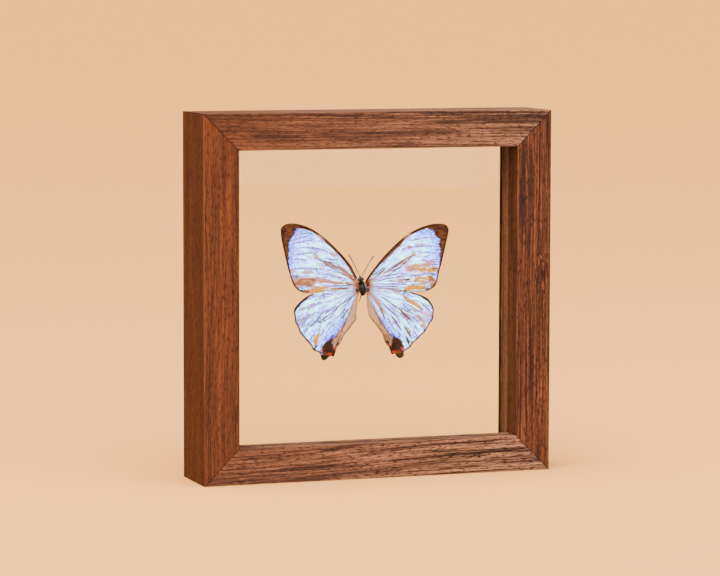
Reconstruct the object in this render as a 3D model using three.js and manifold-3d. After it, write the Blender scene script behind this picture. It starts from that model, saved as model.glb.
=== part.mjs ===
// Framed butterfly specimen: a square walnut frame that stands on its bottom rail, with a butterfly
// held between two panes. Millimetres, +Z up, the front faces -Y, and the origin lies under the
// middle of the bottom rail, half way through the frame's depth.
import * as THREE from 'three';
import { mergeVertices } from 'three/addons/utils/BufferGeometryUtils.js';
import Module from 'manifold-3d';

// Frame: a lip at the front hides the edges of everything that sits in the rebate behind it.
const FRAME_SIDE = 178;
const FRAME_DEPTH = 35;
const FACE_WIDTH = 17.75;
const LIP_DEPTH = 12;
const WALL_WIDTH = 10.5;
const EASED_EDGE = 0.4;
const MITRE_GAP = 0.2;
const FIT_GAP = 0.1;

// What stacks up in the rebate, from the lip to the back.
const GLASS_THICKNESS = 1.9;
const GLASS_SIDE_PLAY = 0.3;
const SPACER_DEPTH = 16.3;
const SPACER_WIDTH = 3.5;
const RETAINER_DEPTH = 2;
const RETAINER_WIDTH = 3.4;
const STRIP_EASED_EDGE = 0.3;

// Specimen: the wing roots lie near the back pane and the wings rise towards the front pane.
const WING_ROOT_DEPTH = 26.5;
const WING_RISE = 0.12;
const WING_THICKNESS = 0.3;
const HINDWING_DROP = 0.7;
const BODY_CENTRE = [0.1, 9.6, 90.2];
const BODY_LEAN = THREE.MathUtils.degToRad(-12);
const ANTENNA_RADIUS = 0.27;
const ANTENNA_CLUB_RADIUS = 0.38;
const GLUE_RADIUS = 1.7;
const GLUE_THICKNESS = 0.8;

// Depths below the front face, in the order in which the pieces go in.
const FRONT_GLASS_AT = LIP_DEPTH + FIT_GAP;
const SPACER_AT = FRONT_GLASS_AT + GLASS_THICKNESS + FIT_GAP;
const BACK_GLASS_AT = SPACER_AT + SPACER_DEPTH + FIT_GAP;
const RETAINER_AT = BACK_GLASS_AT + GLASS_THICKNESS + FIT_GAP;

const FRONT_Y = -FRAME_DEPTH / 2;
const RIGHT = new THREE.Vector3(1, 0, 0);
const BACK = new THREE.Vector3(0, 1, 0);
const UP = new THREE.Vector3(0, 0, 1);

const wasm = await Module();
wasm.setup();

const specimen = new THREE.Group();

function addPiece(name, geometry, color, roughness, metalness = 0) {
  const mesh = new THREE.Mesh(geometry, new THREE.MeshStandardMaterial({ color, roughness, metalness }));
  mesh.name = name;
  specimen.add(mesh);
  return mesh;
}

// A closed outline of straight sides whose corners are rounded by the radius given for each.
function easedOutline(corners) {
  const shape = new THREE.Shape();
  corners.forEach(([x, y, radius], i) => {
    const corner = new THREE.Vector2(x, y);
    const before = new THREE.Vector2(...corners.at(i - 1).slice(0, 2)).sub(corner).setLength(radius).add(corner);
    const after = new THREE.Vector2(...corners[(i + 1) % corners.length].slice(0, 2))
      .sub(corner).setLength(radius).add(corner);
    if (i === 0) shape.moveTo(before.x, before.y);
    else shape.lineTo(before.x, before.y);
    shape.quadraticCurveTo(corner.x, corner.y, after.x, after.y);
  });
  shape.closePath();
  return shape;
}

// A rectangular section: depth range, then distance range in from the frame's outer edge.
function stripSection(depthFrom, depthTo, inFrom, inTo, radius) {
  return easedOutline([
    [depthFrom, inFrom, radius],
    [depthTo, inFrom, radius],
    [depthTo, inTo, radius],
    [depthFrom, inTo, radius],
  ]);
}

// One side of a mitred square, lying along the bottom. The section is drawn as depth below the
// front face against distance in from the outer edge, so each corner's 45 degree cut shortens
// the bar by that distance.
function mitredBar(section) {
  const geometry = new THREE.ExtrudeGeometry(section, { depth: 2, bevelEnabled: false, curveSegments: 3 });
  geometry.translate(0, 0, -1);
  geometry.applyMatrix4(new THREE.Matrix4().makeBasis(BACK, UP, RIGHT));
  const points = geometry.attributes.position;
  for (let i = 0; i < points.count; i += 1) {
    const halfLength = FRAME_SIDE / 2 - points.getZ(i) - MITRE_GAP / 2;
    points.setX(i, Math.sign(points.getX(i)) * halfLength);
  }
  geometry.translate(0, FRONT_Y, -FRAME_SIDE / 2);
  return geometry;
}

// The same bar on all four sides, each a quarter turn further about the middle of the frame.
function addSquare(names, section, color, roughness) {
  names.forEach((name, quarter) => {
    const bar = addPiece(name, mitredBar(section), color, roughness);
    bar.position.z = FRAME_SIDE / 2;
    bar.rotation.y = quarter * Math.PI / 2;
  });
}

const railSection = easedOutline([
  [0, 0, EASED_EDGE],
  [FRAME_DEPTH, 0, EASED_EDGE],
  [FRAME_DEPTH, WALL_WIDTH, STRIP_EASED_EDGE],
  [LIP_DEPTH, WALL_WIDTH, STRIP_EASED_EDGE],
  [LIP_DEPTH, FACE_WIDTH, STRIP_EASED_EDGE],
  [0, FACE_WIDTH, EASED_EDGE],
]);
addSquare(['bottom_rail', 'left_stile', 'top_rail', 'right_stile'], railSection, 0x6e4128, 0.55);

const stripFrom = WALL_WIDTH + FIT_GAP;
const spacerSection = stripSection(
  SPACER_AT, SPACER_AT + SPACER_DEPTH, stripFrom, stripFrom + SPACER_WIDTH, STRIP_EASED_EDGE);
addSquare(['spacer_bottom', 'spacer_left', 'spacer_top', 'spacer_right'], spacerSection, 0x5d3723, 0.6);

const retainerSection = stripSection(
  RETAINER_AT, RETAINER_AT + RETAINER_DEPTH, stripFrom, stripFrom + RETAINER_WIDTH, STRIP_EASED_EDGE);
addSquare(['retainer_bottom', 'retainer_left', 'retainer_top', 'retainer_right'], retainerSection, 0x573320, 0.6);

// Panes: square sheets that fill the rebate from wall to wall with a little play.
const glassSide = FRAME_SIDE - 2 * (WALL_WIDTH + GLASS_SIDE_PLAY);
for (const [name, depth] of [['front_glass', FRONT_GLASS_AT], ['back_glass', BACK_GLASS_AT]]) {
  const pane = addPiece(name, new THREE.BoxGeometry(glassSide, GLASS_THICKNESS, glassSide), 0xe9f1ee, 0.03);
  pane.position.set(0, FRONT_Y + depth + GLASS_THICKNESS / 2, FRAME_SIDE / 2);
}

// Wing outlines: distance out from the frame's middle, then height above the frame's foot. Each
// runs from the root along the leading edge, down the outer margin and back along the inner edge.
const WINGS = {
  right_forewing: [
    [1.25, 93.6], [3.4, 97.2], [9.4, 104.7], [15.7, 111.2], [21.8, 116.3], [27.9, 119.5], [33.9, 121.4],
    [38, 121.7], [41.5, 121.1], [43, 119], [42.8, 116.5], [41.4, 110], [39.9, 103.5], [38.3, 97.5],
    [37.5, 93.6], [36.2, 90.8], [33.5, 88.9], [31, 88.1], [27, 88.1], [22, 88.7], [15, 89.6], [7, 90.1],
    [2.3, 90.3], [2.05, 91.2], [1.75, 91.9], [1.42, 92.8],
  ],
  left_forewing: [
    [2.85, 95.2], [3.8, 97.2], [5, 99.2], [5.9, 101.1], [7.2, 102.8], [9.7, 105.7], [15.9, 111.8],
    [21.8, 116.7], [27.7, 120.6], [33.8, 122.9], [38.5, 123.6], [41.8, 123.1], [43.8, 121.4], [44, 119.3],
    [43.6, 116], [42.3, 110], [40.8, 104], [39.6, 99.7], [38.3, 95.8], [37.2, 93.4], [35.6, 91.4],
    [33.1, 89.9], [30.5, 89.1], [27, 88.9], [22, 89.4], [15, 90], [7, 90.2], [2.12, 90.5], [2.12, 92.4],
    [2.35, 93.6],
  ],
  right_hindwing: [
    [2.05, 91.5], [8, 91.2], [15, 90.4], [20, 89.2], [25, 87.9], [30, 86.2], [33.3, 84.2], [35.3, 81.3],
    [36, 79.4], [35.8, 76.8], [35.5, 74.2], [33.8, 72], [32.2, 69.2], [31.4, 67.9], [29.3, 66.2],
    [28.1, 64.8], [25.6, 62.7], [24.4, 60.9], [23.6, 60.1], [21.9, 59.3], [20.9, 58.1], [20.9, 56.5],
    [19.2, 55.3], [17.3, 56.1], [16.8, 57.5], [14.7, 57.4], [14.8, 59.8], [14, 61], [12.1, 62],
    [11.5, 64.5], [10.4, 67.2], [7.3, 71.5], [5, 74.4], [3.6, 76.4], [2.8, 80], [2.2, 84.5], [1.85, 87.2],
    [2.25, 88.6], [2.36, 89.3], [2.33, 90.2],
  ],
  left_hindwing: [
    [2.15, 91.5], [8, 91.2], [15, 90.6], [22, 89.4], [27, 88.6], [30.4, 87.3], [33.9, 84.8], [36, 82.5],
    [36.9, 80.6], [36.4, 77.5], [36.1, 75.2], [34.8, 73], [33.6, 69.9], [31.6, 67.7], [30.2, 65.9],
    [27.8, 63.5], [26.4, 60.9], [24.1, 60.1], [22.8, 59.1], [22.4, 57.5], [21.6, 56], [19.9, 55.9],
    [18.4, 57], [17.1, 57.7], [15.3, 57.4], [15.5, 60.1], [13.4, 61.9], [11.8, 63.4], [10.4, 66.3],
    [9, 68.3], [6.8, 70.4], [5.2, 72.6], [3.1, 74.8], [3, 77.5], [2.5, 84], [1.75, 87.2], [1.7, 88.4],
    [1.9, 89.3], [2.14, 90.4],
  ],
};
const WING_CURVE_STEPS = 2;

// A wing is a thin plate with a smooth outline. Each point comes forward in step with its
// distance from the body, so that the left and right wings make a shallow V.
function wingGeometry(outline, side, rootDepth) {
  const margin = new THREE.SplineCurve(outline.map(([out, up]) => new THREE.Vector2(side * out, up)));
  const shape = new THREE.Shape(margin.getPoints((outline.length - 1) * WING_CURVE_STEPS));
  const geometry = new THREE.ExtrudeGeometry(shape, { depth: WING_THICKNESS, bevelEnabled: false });
  geometry.rotateX(Math.PI / 2);
  const points = geometry.attributes.position;
  for (let i = 0; i < points.count; i += 1) {
    points.setY(i, points.getY(i) + FRONT_Y + rootDepth - WING_RISE * Math.abs(points.getX(i)));
  }
  return geometry;
}

for (const [name, outline] of Object.entries(WINGS)) {
  const side = name.startsWith('left') ? -1 : 1;
  const rootDepth = WING_ROOT_DEPTH + (name.endsWith('hindwing') ? HINDWING_DROP : 0);
  addPiece(name, wingGeometry(outline, side, rootDepth), 0xcfdcf2, 0.45);
}

// Body: rounded lumps that grew together, drawn about the middle of the thorax with the head up.
// Each has its middle and its half sizes across, through and along the body.
const BODY_LUMPS = [
  { at: [0, 0, 0], half: [2, 2.3, 3.3] },
  { at: [-0.25, 0.2, -2.5], half: [1.35, 1.5, 1.3] },
  { at: [0.1, -0.1, 2.6], half: [1.65, 1.7, 1.7] },
  { at: [0, -0.3, 4.6], half: [1.25, 1.2, 1.15] },
  { at: [-1, -0.4, 4.7], half: [0.7, 0.8, 0.8] },
  { at: [1, -0.4, 4.7], half: [0.7, 0.8, 0.8] },
  { at: [-0.35, -0.3, 5.8], half: [0.36, 0.4, 0.65] },
  { at: [0.35, -0.3, 5.8], half: [0.36, 0.4, 0.65] },
];
const LEG = { from: [-0.9, 0.3, -2.6], to: [-2.75, 0.5, -6.1], radius: 0.36 };

function solidOf(geometry) {
  geometry.deleteAttribute('normal');
  geometry.deleteAttribute('uv');
  const merged = mergeVertices(geometry);
  return new wasm.Manifold(new wasm.Mesh({
    numProp: 3,
    vertProperties: new Float32Array(merged.attributes.position.array),
    triVerts: new Uint32Array(merged.index.array),
  }));
}

function geometryOf(solid) {
  const { vertProperties, triVerts } = solid.getMesh();
  const geometry = new THREE.BufferGeometry();
  geometry.setAttribute('position', new THREE.BufferAttribute(vertProperties, 3));
  geometry.setIndex(new THREE.BufferAttribute(triVerts, 1));
  geometry.computeVertexNormals();
  return geometry;
}

function bodyGeometry() {
  const lumps = BODY_LUMPS.map(({ at, half }) => {
    const ball = new THREE.SphereGeometry(1, 16, 12);
    return solidOf(ball.scale(...half).translate(...at));
  });
  const from = new THREE.Vector3(...LEG.from);
  const along = new THREE.Vector3(...LEG.to).sub(from);
  const leg = new THREE.CapsuleGeometry(LEG.radius, along.length(), 3, 8);
  leg.translate(0, along.length() / 2, 0);
  leg.applyQuaternion(new THREE.Quaternion().setFromUnitVectors(BACK, along.clone().normalize()));
  leg.translate(...LEG.from);
  return geometryOf(lumps.reduce((body, lump) => body.add(lump)).add(solidOf(leg)));
}

const body = addPiece('body', bodyGeometry(), 0x15120f, 0.8);
body.position.set(...BODY_CENTRE);
body.rotation.y = BODY_LEAN;

// Antennae: straight hairs that thicken to a small club at the tip.
const ANTENNAE = {
  left_antenna: { from: [-1.8, 8.6, 96.8], to: [-7.8, 6.8, 107] },
  right_antenna: { from: [-0.4, 8.6, 96.7], to: [5, 6.8, 106.5] },
};

for (const [name, { from, to }] of Object.entries(ANTENNAE)) {
  const along = new THREE.Vector3(...to).sub(new THREE.Vector3(...from));
  const length = along.length();
  const outline = [
    [0, 0], [ANTENNA_RADIUS, 0], [ANTENNA_RADIUS, 0.75 * length],
    [ANTENNA_CLUB_RADIUS, 0.92 * length], [ANTENNA_CLUB_RADIUS, 0.97 * length], [0, length],
  ].map(([radius, at]) => new THREE.Vector2(radius, at));
  const antenna = addPiece(name, new THREE.LatheGeometry(outline, 8), 0x3a2a1c, 0.7);
  antenna.position.set(...from);
  antenna.quaternion.setFromUnitVectors(BACK, along.normalize());
}

// Glue pad: a clear dab, flat on the back pane, under the thorax.
const padOutline = [
  [0, 0], [0.8 * GLUE_RADIUS, 0], [GLUE_RADIUS, 0.6 * GLUE_THICKNESS], [GLUE_RADIUS, GLUE_THICKNESS],
  [0, GLUE_THICKNESS],
].map(([radius, at]) => new THREE.Vector2(radius, at));
const pad = addPiece('glue_pad', new THREE.LatheGeometry(padOutline, 16), 0xd8d2c4, 0.15);
pad.position.set(BODY_CENTRE[0], FRONT_Y + BACK_GLASS_AT - FIT_GAP - GLUE_THICKNESS, BODY_CENTRE[2]);

export default specimen;
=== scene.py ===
import bpy
import numpy as np
from mathutils import Matrix, Vector


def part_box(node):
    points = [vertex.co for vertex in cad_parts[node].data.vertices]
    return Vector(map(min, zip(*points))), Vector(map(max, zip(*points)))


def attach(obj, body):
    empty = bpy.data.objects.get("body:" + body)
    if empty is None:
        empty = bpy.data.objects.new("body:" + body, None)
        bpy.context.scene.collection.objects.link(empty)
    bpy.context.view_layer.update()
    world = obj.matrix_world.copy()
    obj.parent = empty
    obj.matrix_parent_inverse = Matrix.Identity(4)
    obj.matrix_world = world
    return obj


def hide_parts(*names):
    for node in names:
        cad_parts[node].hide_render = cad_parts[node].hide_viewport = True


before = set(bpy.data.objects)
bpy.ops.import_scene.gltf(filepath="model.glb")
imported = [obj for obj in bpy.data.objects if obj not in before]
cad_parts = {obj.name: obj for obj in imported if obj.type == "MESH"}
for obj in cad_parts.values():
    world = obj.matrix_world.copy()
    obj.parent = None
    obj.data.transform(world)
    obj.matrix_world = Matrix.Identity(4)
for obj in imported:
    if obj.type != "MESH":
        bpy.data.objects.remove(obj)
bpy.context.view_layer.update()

# Walnut members: two stiles and two rails of oiled walnut, moulded with a lip in front and a
# rebate behind it, mitred at 45 degrees and glued. The open pores and the arrises stay visible.
MM = 0.001
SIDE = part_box("top_rail")[1].z
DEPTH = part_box("top_rail")[1].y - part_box("top_rail")[0].y
FACE_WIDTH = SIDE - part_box("top_rail")[0].z
FRONT_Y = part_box("top_rail")[0].y
LIP_DEPTH = 12 * MM
WALL_WIDTH = 10.5 * MM
EASED_EDGE = 0.4 * MM
INNER_EASED_EDGE = 0.3 * MM
MITRE_GAP = 0.2 * MM
ARC_STEPS = 6
FLAT_STATION = 1.4
SHARP_ANGLE = np.radians(40)
GLUE_LINE = 0.5 * MM
KNOT_AT = (2308, 393.5, 90)


class Shade:
    """A socket of a material. Arithmetic on it adds Math nodes, and node() adds any other node."""

    def __init__(self, socket):
        self.socket = socket
        self.tree = socket.id_data

    def node(self, kind, settings, inputs, output=0):
        made = self.tree.nodes.new(kind)
        for name, value in settings.items():
            if name == "stops":
                set_stops(made.color_ramp, value)
            else:
                setattr(made, name, value)
        for key, value in inputs.items():
            feed(made.inputs[key], value)
        return Shade(made.outputs[output])

    def maths(self, operation, *values):
        inputs = dict(enumerate(values))
        return self.node("ShaderNodeMath", {"operation": operation}, inputs)

    def __add__(self, other):
        return self.maths("ADD", self, other)

    def __sub__(self, other):
        return self.maths("SUBTRACT", self, other)

    def __rsub__(self, other):
        return self.maths("SUBTRACT", other, self)

    def __mul__(self, other):
        return self.maths("MULTIPLY", self, other)

    __radd__ = __add__
    __rmul__ = __mul__

    def between(self, low, high):
        """0 below low, 1 above high, eased in between."""
        settings = {"interpolation_type": "SMOOTHSTEP"}
        return self.node("ShaderNodeMapRange", settings, {0: self, 1: low, 2: high})

    def blend(self, other, amount):
        """This colour, with that amount of the other laid over it."""
        inputs = {0: amount, 6: self, 7: other}
        return self.node("ShaderNodeMix", {"data_type": "RGBA"}, inputs, 2)

    def times(self, factors):
        """This vector, stretched along each of its axes."""
        inputs = {0: self, 1: factors}
        return self.node("ShaderNodeVectorMath", {"operation": "MULTIPLY"}, inputs)

    def noise(self, factors, detail=2.0, roughness=0.5):
        """Noise over this vector, stretched by the factors, from 0 to 1."""
        inputs = {"Vector": self.times(factors), "Scale": 1.0, "Detail": detail, "Roughness": roughness}
        return self.node("ShaderNodeTexNoise", {}, inputs)


def feed(socket, value):
    """Links a Shade to a socket, or sets the socket's own value."""
    if isinstance(value, Shade):
        socket.id_data.links.new(value.socket, socket)
    elif socket.type == "RGBA":
        socket.default_value = (*value, 1)
    else:
        socket.default_value = value


def set_stops(ramp, stops):
    """Gives a colour ramp its stops, each a place and a linear colour."""
    while len(ramp.elements) < len(stops):
        ramp.elements.new(0.5)
    for element, (place, colour) in zip(ramp.elements, stops):
        element.position = place
        element.color = (*colour, 1)


def new_finish(name):
    """A new material with one Principled shader, that shader's sockets, and a Shade to start from."""
    material = bpy.data.materials.new(name)
    material.use_nodes = True
    shader = material.node_tree.nodes["Principled BSDF"]
    return material, shader.inputs, Shade(shader.inputs["Base Color"])


def tint(red, green, blue):
    """Linear colour of a display colour given from 0 to 255."""
    share = np.array([red, green, blue]) / 255
    return tuple(np.where(share <= 0.04045, share / 12.92, ((share + 0.055) / 1.055) ** 2.4).tolist())


def read(start, name, output):
    """One of the piece's own attributes: output 1 is its vector, 2 its number, 0 its colour."""
    return start.node("ShaderNodeAttribute", {"attribute_name": name}, {}, output)


# Walnut's grain: cycles in a millimetre along, across and through the board, then detail and roughness.
BANDS = ((0.004, 0.16, 0.16), 2.0, 0.5)
STREAKS = ((0.009, 0.5, 0.5), 3.0, 0.65)
LINES = ((0.022, 1.2, 1.2), 3.0, 0.6)
PORES = ((0.36, 2.1, 2.1), 2.0, 0.6)
FIBRES = ((0.2, 8.0, 8.0), 2.0, 0.5)
WARM_TO_PALE = [(0.0, tint(51, 22, 6)), (1.0, tint(72, 46, 30))]
WARM_TO_PALE_DARK = [(0.0, tint(31, 12, 3)), (1.0, tint(33, 19, 10))]
STREAK_BROWN = tint(17, 5, 3)
LINE_BROWN = tint(15, 5, 3)
LINE_GAIN = (1.8, 1.7, 1.6)
PORE_BROWN = tint(8, 4, 3)
FIBRE_TAN = tint(86, 58, 36)
ARRIS_TAN = tint(74, 48, 29)
KNOT_BROWN = tint(13, 4, 3)


def walnut_finish(name, painted_light_gain):
    """Walnut: slow bands wander along the board, long dark and pale lines and short pores run with them.
    The board attribute gives millimetres along, across and through each member, and tone its colour."""
    material, shader, start = new_finish(name)
    board = read(start, "board", 1)
    # The tone is the board's colour; on the rails its paler right ends are partly painted sheen.
    tone = read(start, "tone", 2)
    joint = read(start, "joint", 2)
    arris = read(start, "arris", 2)
    figure = read(start, "figure", 2)
    from_knot = board.node("ShaderNodeVectorMath", {"operation": "SUBTRACT"}, {0: board, 1: KNOT_AT})
    stretched = from_knot.times((0.45, 1.0, 0.5))
    knot = start.node("ShaderNodeVectorMath", {"operation": "LENGTH"}, {0: stretched}, 1)
    wander = board.noise((0.008, 0.05, 0.05)) * 6 + knot.between(6.0, 0.5) * 2.0
    sway = start.node("ShaderNodeCombineXYZ", {}, {1: wander, 2: wander})
    flow = board.node("ShaderNodeVectorMath", {"operation": "ADD"}, {0: board, 1: sway})
    band, streak, line, fibre = (flow.noise(*grain) for grain in (BANDS, STREAKS, LINES, FIBRES))
    pores = flow.noise(*PORES).between(0.53, 0.61)

    light = start.node("ShaderNodeValToRGB", {"stops": WARM_TO_PALE}, {0: tone})
    dark = start.node("ShaderNodeValToRGB", {"stops": WARM_TO_PALE_DARK}, {0: tone})
    colour = dark.blend(light, 0.5 + figure * (band.between(0.3, 0.68) - 0.5))
    colour = colour.blend(STREAK_BROWN, figure * streak.between(0.5, 0.6) * 0.7)
    colour = colour.blend(light.times(LINE_GAIN), figure * line.between(0.52, 0.63) * 0.6)
    colour = colour.blend(LINE_BROWN, figure * line.between(0.48, 0.38) * 0.7)
    colour = colour.blend(PORE_BROWN, (0.3 + 0.7 * figure) * pores * 0.8)
    colour = colour.blend(FIBRE_TAN, fibre.between(0.55, 0.75) * 0.2)
    # Paler tan laid on the rounded arrises, where the bands are light.
    colour = colour.blend(ARRIS_TAN, arris * band.between(0.4, 0.6) * 0.3)
    colour = colour.blend(KNOT_BROWN, joint * 0.6 + knot.between(2.4, 0.4) * 0.7)

    height = fibre * 0.25 + line * 0.3 - pores * 0.6
    bump = {"Strength": 0.5, "Distance": 0.00012, "Height": height}
    # Painted light: the colour is multiplied by the gain, 1 for the members and more for the brightened
    # strips.
    feed(shader["Base Color"], colour.times((painted_light_gain, painted_light_gain, painted_light_gain)))
    feed(shader["Roughness"], 0.52 + 0.2 * pores + 0.12 * line)
    feed(shader["Normal"], start.node("ShaderNodeBump", {}, bump))
    shader["Specular IOR Level"].default_value = 0.02
    return material


def eased_section(corners):
    """Closed outline of straight sides with rounded corners, as depth against distance in from the
    outer edge. Each corner is a quadratic arc between two flat stations; arris is 1 on the arc."""
    corners = np.array(corners)
    spot, radius = corners[:, None, :2], corners[:, None, 2:]
    to_last = np.roll(spot, 1, axis=0) - spot
    to_next = np.roll(spot, -1, axis=0) - spot
    to_last /= np.linalg.norm(to_last, axis=2, keepdims=True)
    to_next /= np.linalg.norm(to_next, axis=2, keepdims=True)
    t = np.linspace(0, 1, ARC_STEPS)[None, :, None]
    arc = spot + radius * ((1 - t) ** 2 * to_last + t ** 2 * to_next)
    flat_stop = FLAT_STATION * radius
    outline = np.concatenate([spot + flat_stop * to_last, arc, spot + flat_stop * to_next], axis=1)
    arris = np.zeros(outline.shape[:2])
    arris[:, 1:-1] = 1
    return outline.reshape(-1, 2), arris.ravel()


def put_mesh(name, points, faces, material):
    """A new object at the origin with these points and faces, smooth except at sharp angles."""
    mesh = bpy.data.meshes.new(name)
    mesh.from_pydata(points.tolist(), [], faces)
    mesh.validate()
    mesh.shade_smooth()
    mesh.set_sharp_from_angle(angle=SHARP_ANGLE)
    mesh.materials.append(material)
    piece = bpy.data.objects.new(name, mesh)
    bpy.context.scene.collection.objects.link(piece)
    return piece


def put_attribute(piece, name, kind, values):
    """Gives every point of a piece a number, vector or colour of its own."""
    attribute = piece.data.attributes.new(name, kind, "POINT")
    field = {"FLOAT": "value", "FLOAT_VECTOR": "vector", "FLOAT_COLOR": "color"}[kind]
    attribute.data.foreach_set(field, np.asarray(values, np.float32).ravel())


def grid_faces(rows, columns, wrap_rows=False):
    """Quads between neighbouring rows and columns of a grid of points, counted row by row."""
    row = np.arange(rows if wrap_rows else rows - 1)[:, None]
    column = np.arange(columns - 1)[None, :]
    here = row * columns + column
    after = (row + 1) % rows * columns + column
    return np.stack([here, here + 1, after + 1, after], axis=-1).reshape(-1, 4)


def mitred_bar(name, section, quarter, board_start, slant, tones_and_sheen, figures, material):
    """One side of a mitred square: the section carried along the bottom edge, its length at each
    point cut back by the distance in from the outer edge, then turned by quarters about the middle."""
    outline, arris = section
    depth, inward = outline.T[:, :, None]
    count = len(outline)
    end = SIDE / 2 - inward - MITRE_GAP / 2
    along = np.concatenate([-end, GLUE_LINE - end, end - GLUE_LINE, end], axis=1)
    joint = np.tile([1, 0, 0, 1], count)
    stations = along.shape[1]
    turn = quarter * np.pi / 2
    height = inward - SIDE / 2
    x = along * np.cos(turn) + height * np.sin(turn)
    z = height * np.cos(turn) - along * np.sin(turn) + SIDE / 2
    y = np.broadcast_to(FRONT_Y + depth, along.shape)
    faces = grid_faces(count, stations, wrap_rows=True)[:, ::-1].tolist()
    first_end = np.arange(count) * stations
    faces += [first_end.tolist(), (first_end + stations - 1)[::-1].tolist()]
    bar = put_mesh(name, np.stack([x, y, z], axis=-1).reshape(-1, 3), faces, material)
    across = inward + slant * along
    through = np.broadcast_to(depth, along.shape)
    board = np.stack([along, across, through], axis=-1) / MM + np.array(board_start)
    put_attribute(bar, "board", "FLOAT_VECTOR", board)
    put_attribute(bar, "arris", "FLOAT", np.repeat(arris, stations))
    put_attribute(bar, "joint", "FLOAT", joint)
    # Tone runs between its two end values; on the rails the paler right ends are partly painted sheen.
    put_attribute(bar, "tone", "FLOAT", np.interp(along, (-SIDE / 2, SIDE / 2), tones_and_sheen))
    put_attribute(bar, "figure", "FLOAT", np.interp(along, (-SIDE / 2, SIDE / 2), figures))
    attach(bar, "root")
    return bar


walnut = walnut_finish("oiled_walnut", 1.0)
rail_section = eased_section([
    (0, 0, EASED_EDGE),
    (DEPTH, 0, EASED_EDGE),
    (DEPTH, WALL_WIDTH, INNER_EASED_EDGE),
    (LIP_DEPTH, WALL_WIDTH, INNER_EASED_EDGE),
    (LIP_DEPTH, FACE_WIDTH, INNER_EASED_EDGE),
    (0, FACE_WIDTH, EASED_EDGE)])
# Each member's board: where it was cut, how its grain slants, and its tone and figure at both ends.
# Both rails turn paler towards their right ends, partly their own tone and partly painted sheen.
MEMBERS = [
    ("bottom_rail", (300, 40, 7), -0.03, (0.35, 1.0), (0.9, 1.3)),
    ("left_stile", (900, 130, 31), 0.0, (0.0, 0.05), (0.55, 0.55)),
    ("top_rail", (1500, 260, 55), 0.006, (0.95, 0.12), (1.0, 0.6)),
    ("right_stile", (2300, 390, 90), 0.004, (0.1, 0.1), (1.0, 1.0))]
for quarter, (node, board_start, slant, tones_and_sheen, figures) in enumerate(MEMBERS):
    member = mitred_bar("walnut_" + node, rail_section, quarter, board_start, slant, tones_and_sheen, figures, walnut)
    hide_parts(node)

# Panes: two sheets of clear picture glass with ground edges, lying in the rebate. The front one
# sits against the lip and the back one carries the specimen.
GLASS_IOR = 1.5


def glass_finish():
    """Clear glass: plain transmission with a faint cool tint."""
    material, shader = new_finish("picture_glass")[:2]
    shader["Base Color"].default_value = (0.97, 0.99, 0.98, 1)
    shader["Roughness"].default_value = 0.0
    shader["IOR"].default_value = GLASS_IOR
    shader["Transmission Weight"].default_value = 1.0
    shader["Specular Tint"].default_value = (0.03, 0.03, 0.03, 1)
    return material


glass = glass_finish()
for node in ("front_glass", "back_glass"):
    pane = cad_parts[node]
    pane.data.materials.clear()
    pane.data.materials.append(glass)

# Spacers: thin walnut strips that line the rebate between the panes and keep them apart. They are
# mitred like the members, cut from a paler board, and lie in with no glue. Their colour is also
# brightened as painted light, for the light and sheen that fall on the rebate's inner walls.
SIDES = ("bottom", "left", "top", "right")
BOARD_STEP = 400
STRIP_FIGURE = (0.6, 0.6)
# Painted light: the strips' walnut colour is multiplied by this gain to stand in for light on the rebate's
# walls.
STRIP_PAINTED_LIGHT_GAIN = 2.6


def strip_section(node):
    """Rectangular section with eased corners, as deep and as wide as the bottom strip's solid."""
    low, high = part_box(node)
    front, back = low.y - FRONT_Y, high.y - FRONT_Y
    return eased_section([
        (front, low.z, INNER_EASED_EDGE), (back, low.z, INNER_EASED_EDGE),
        (back, high.z, INNER_EASED_EDGE), (front, high.z, INNER_EASED_EDGE)])


def add_strips(kind, board_start, tones_and_sheen, material):
    """The same strip on all four sides of the rebate, each from its own stretch of board."""
    section = strip_section(kind + "_bottom")
    for quarter, side in enumerate(SIDES):
        node = kind + "_" + side
        start = np.array(board_start) + BOARD_STEP * quarter
        strip = mitred_bar("walnut_" + node, section, quarter, start, 0.0, tones_and_sheen, STRIP_FIGURE, material)
        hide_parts(node)


# The strips' walnut, brightened by the gain as painted light.
strip_walnut_painted_light = walnut_finish("strip_walnut_painted_light", STRIP_PAINTED_LIGHT_GAIN)
add_strips("spacer", (5000, 700, 210), (0.7, 0.7), strip_walnut_painted_light)

# Wings: four dry membranes covered in scales, pearly pale blue with brown edges, ochre streaks and
# a bare fold beside the body. Each is set by its root, and the pairs rise towards the front.
WING_ROOT_DEPTH = 26.5 * MM
HINDWING_DROP = 0.7 * MM
WING_RISE = 0.12
WING_THICKNESS = 0.16 * MM
WING_CAMBER = 0.25 * MM
WING_REACH = 45 * MM
FOLD_BEND = 0.5 * MM
FOLD_EASE = 5
CURVE_STEPS = 40
MARGIN_STEPS = 720
RADIAL_STEPS = 99
MARGIN_CROWDING = 1.3
HUB_SHARE = 0.002
MARGIN_STRIDE = 4
SPOT_BLOCKS = 8
UNDERSIDE_STRIDE = 2
MOTTLE_WAVES = 14
STRAND_COUNT = 256
STRAND_LEVELS = 64
WING_HUBS = {
    "right_forewing": (2.7, 92.3), "left_forewing": (3.3, 93.1),
    "right_hindwing": (3.0, 89.2), "left_hindwing": (2.9, 89.2)}
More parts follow.
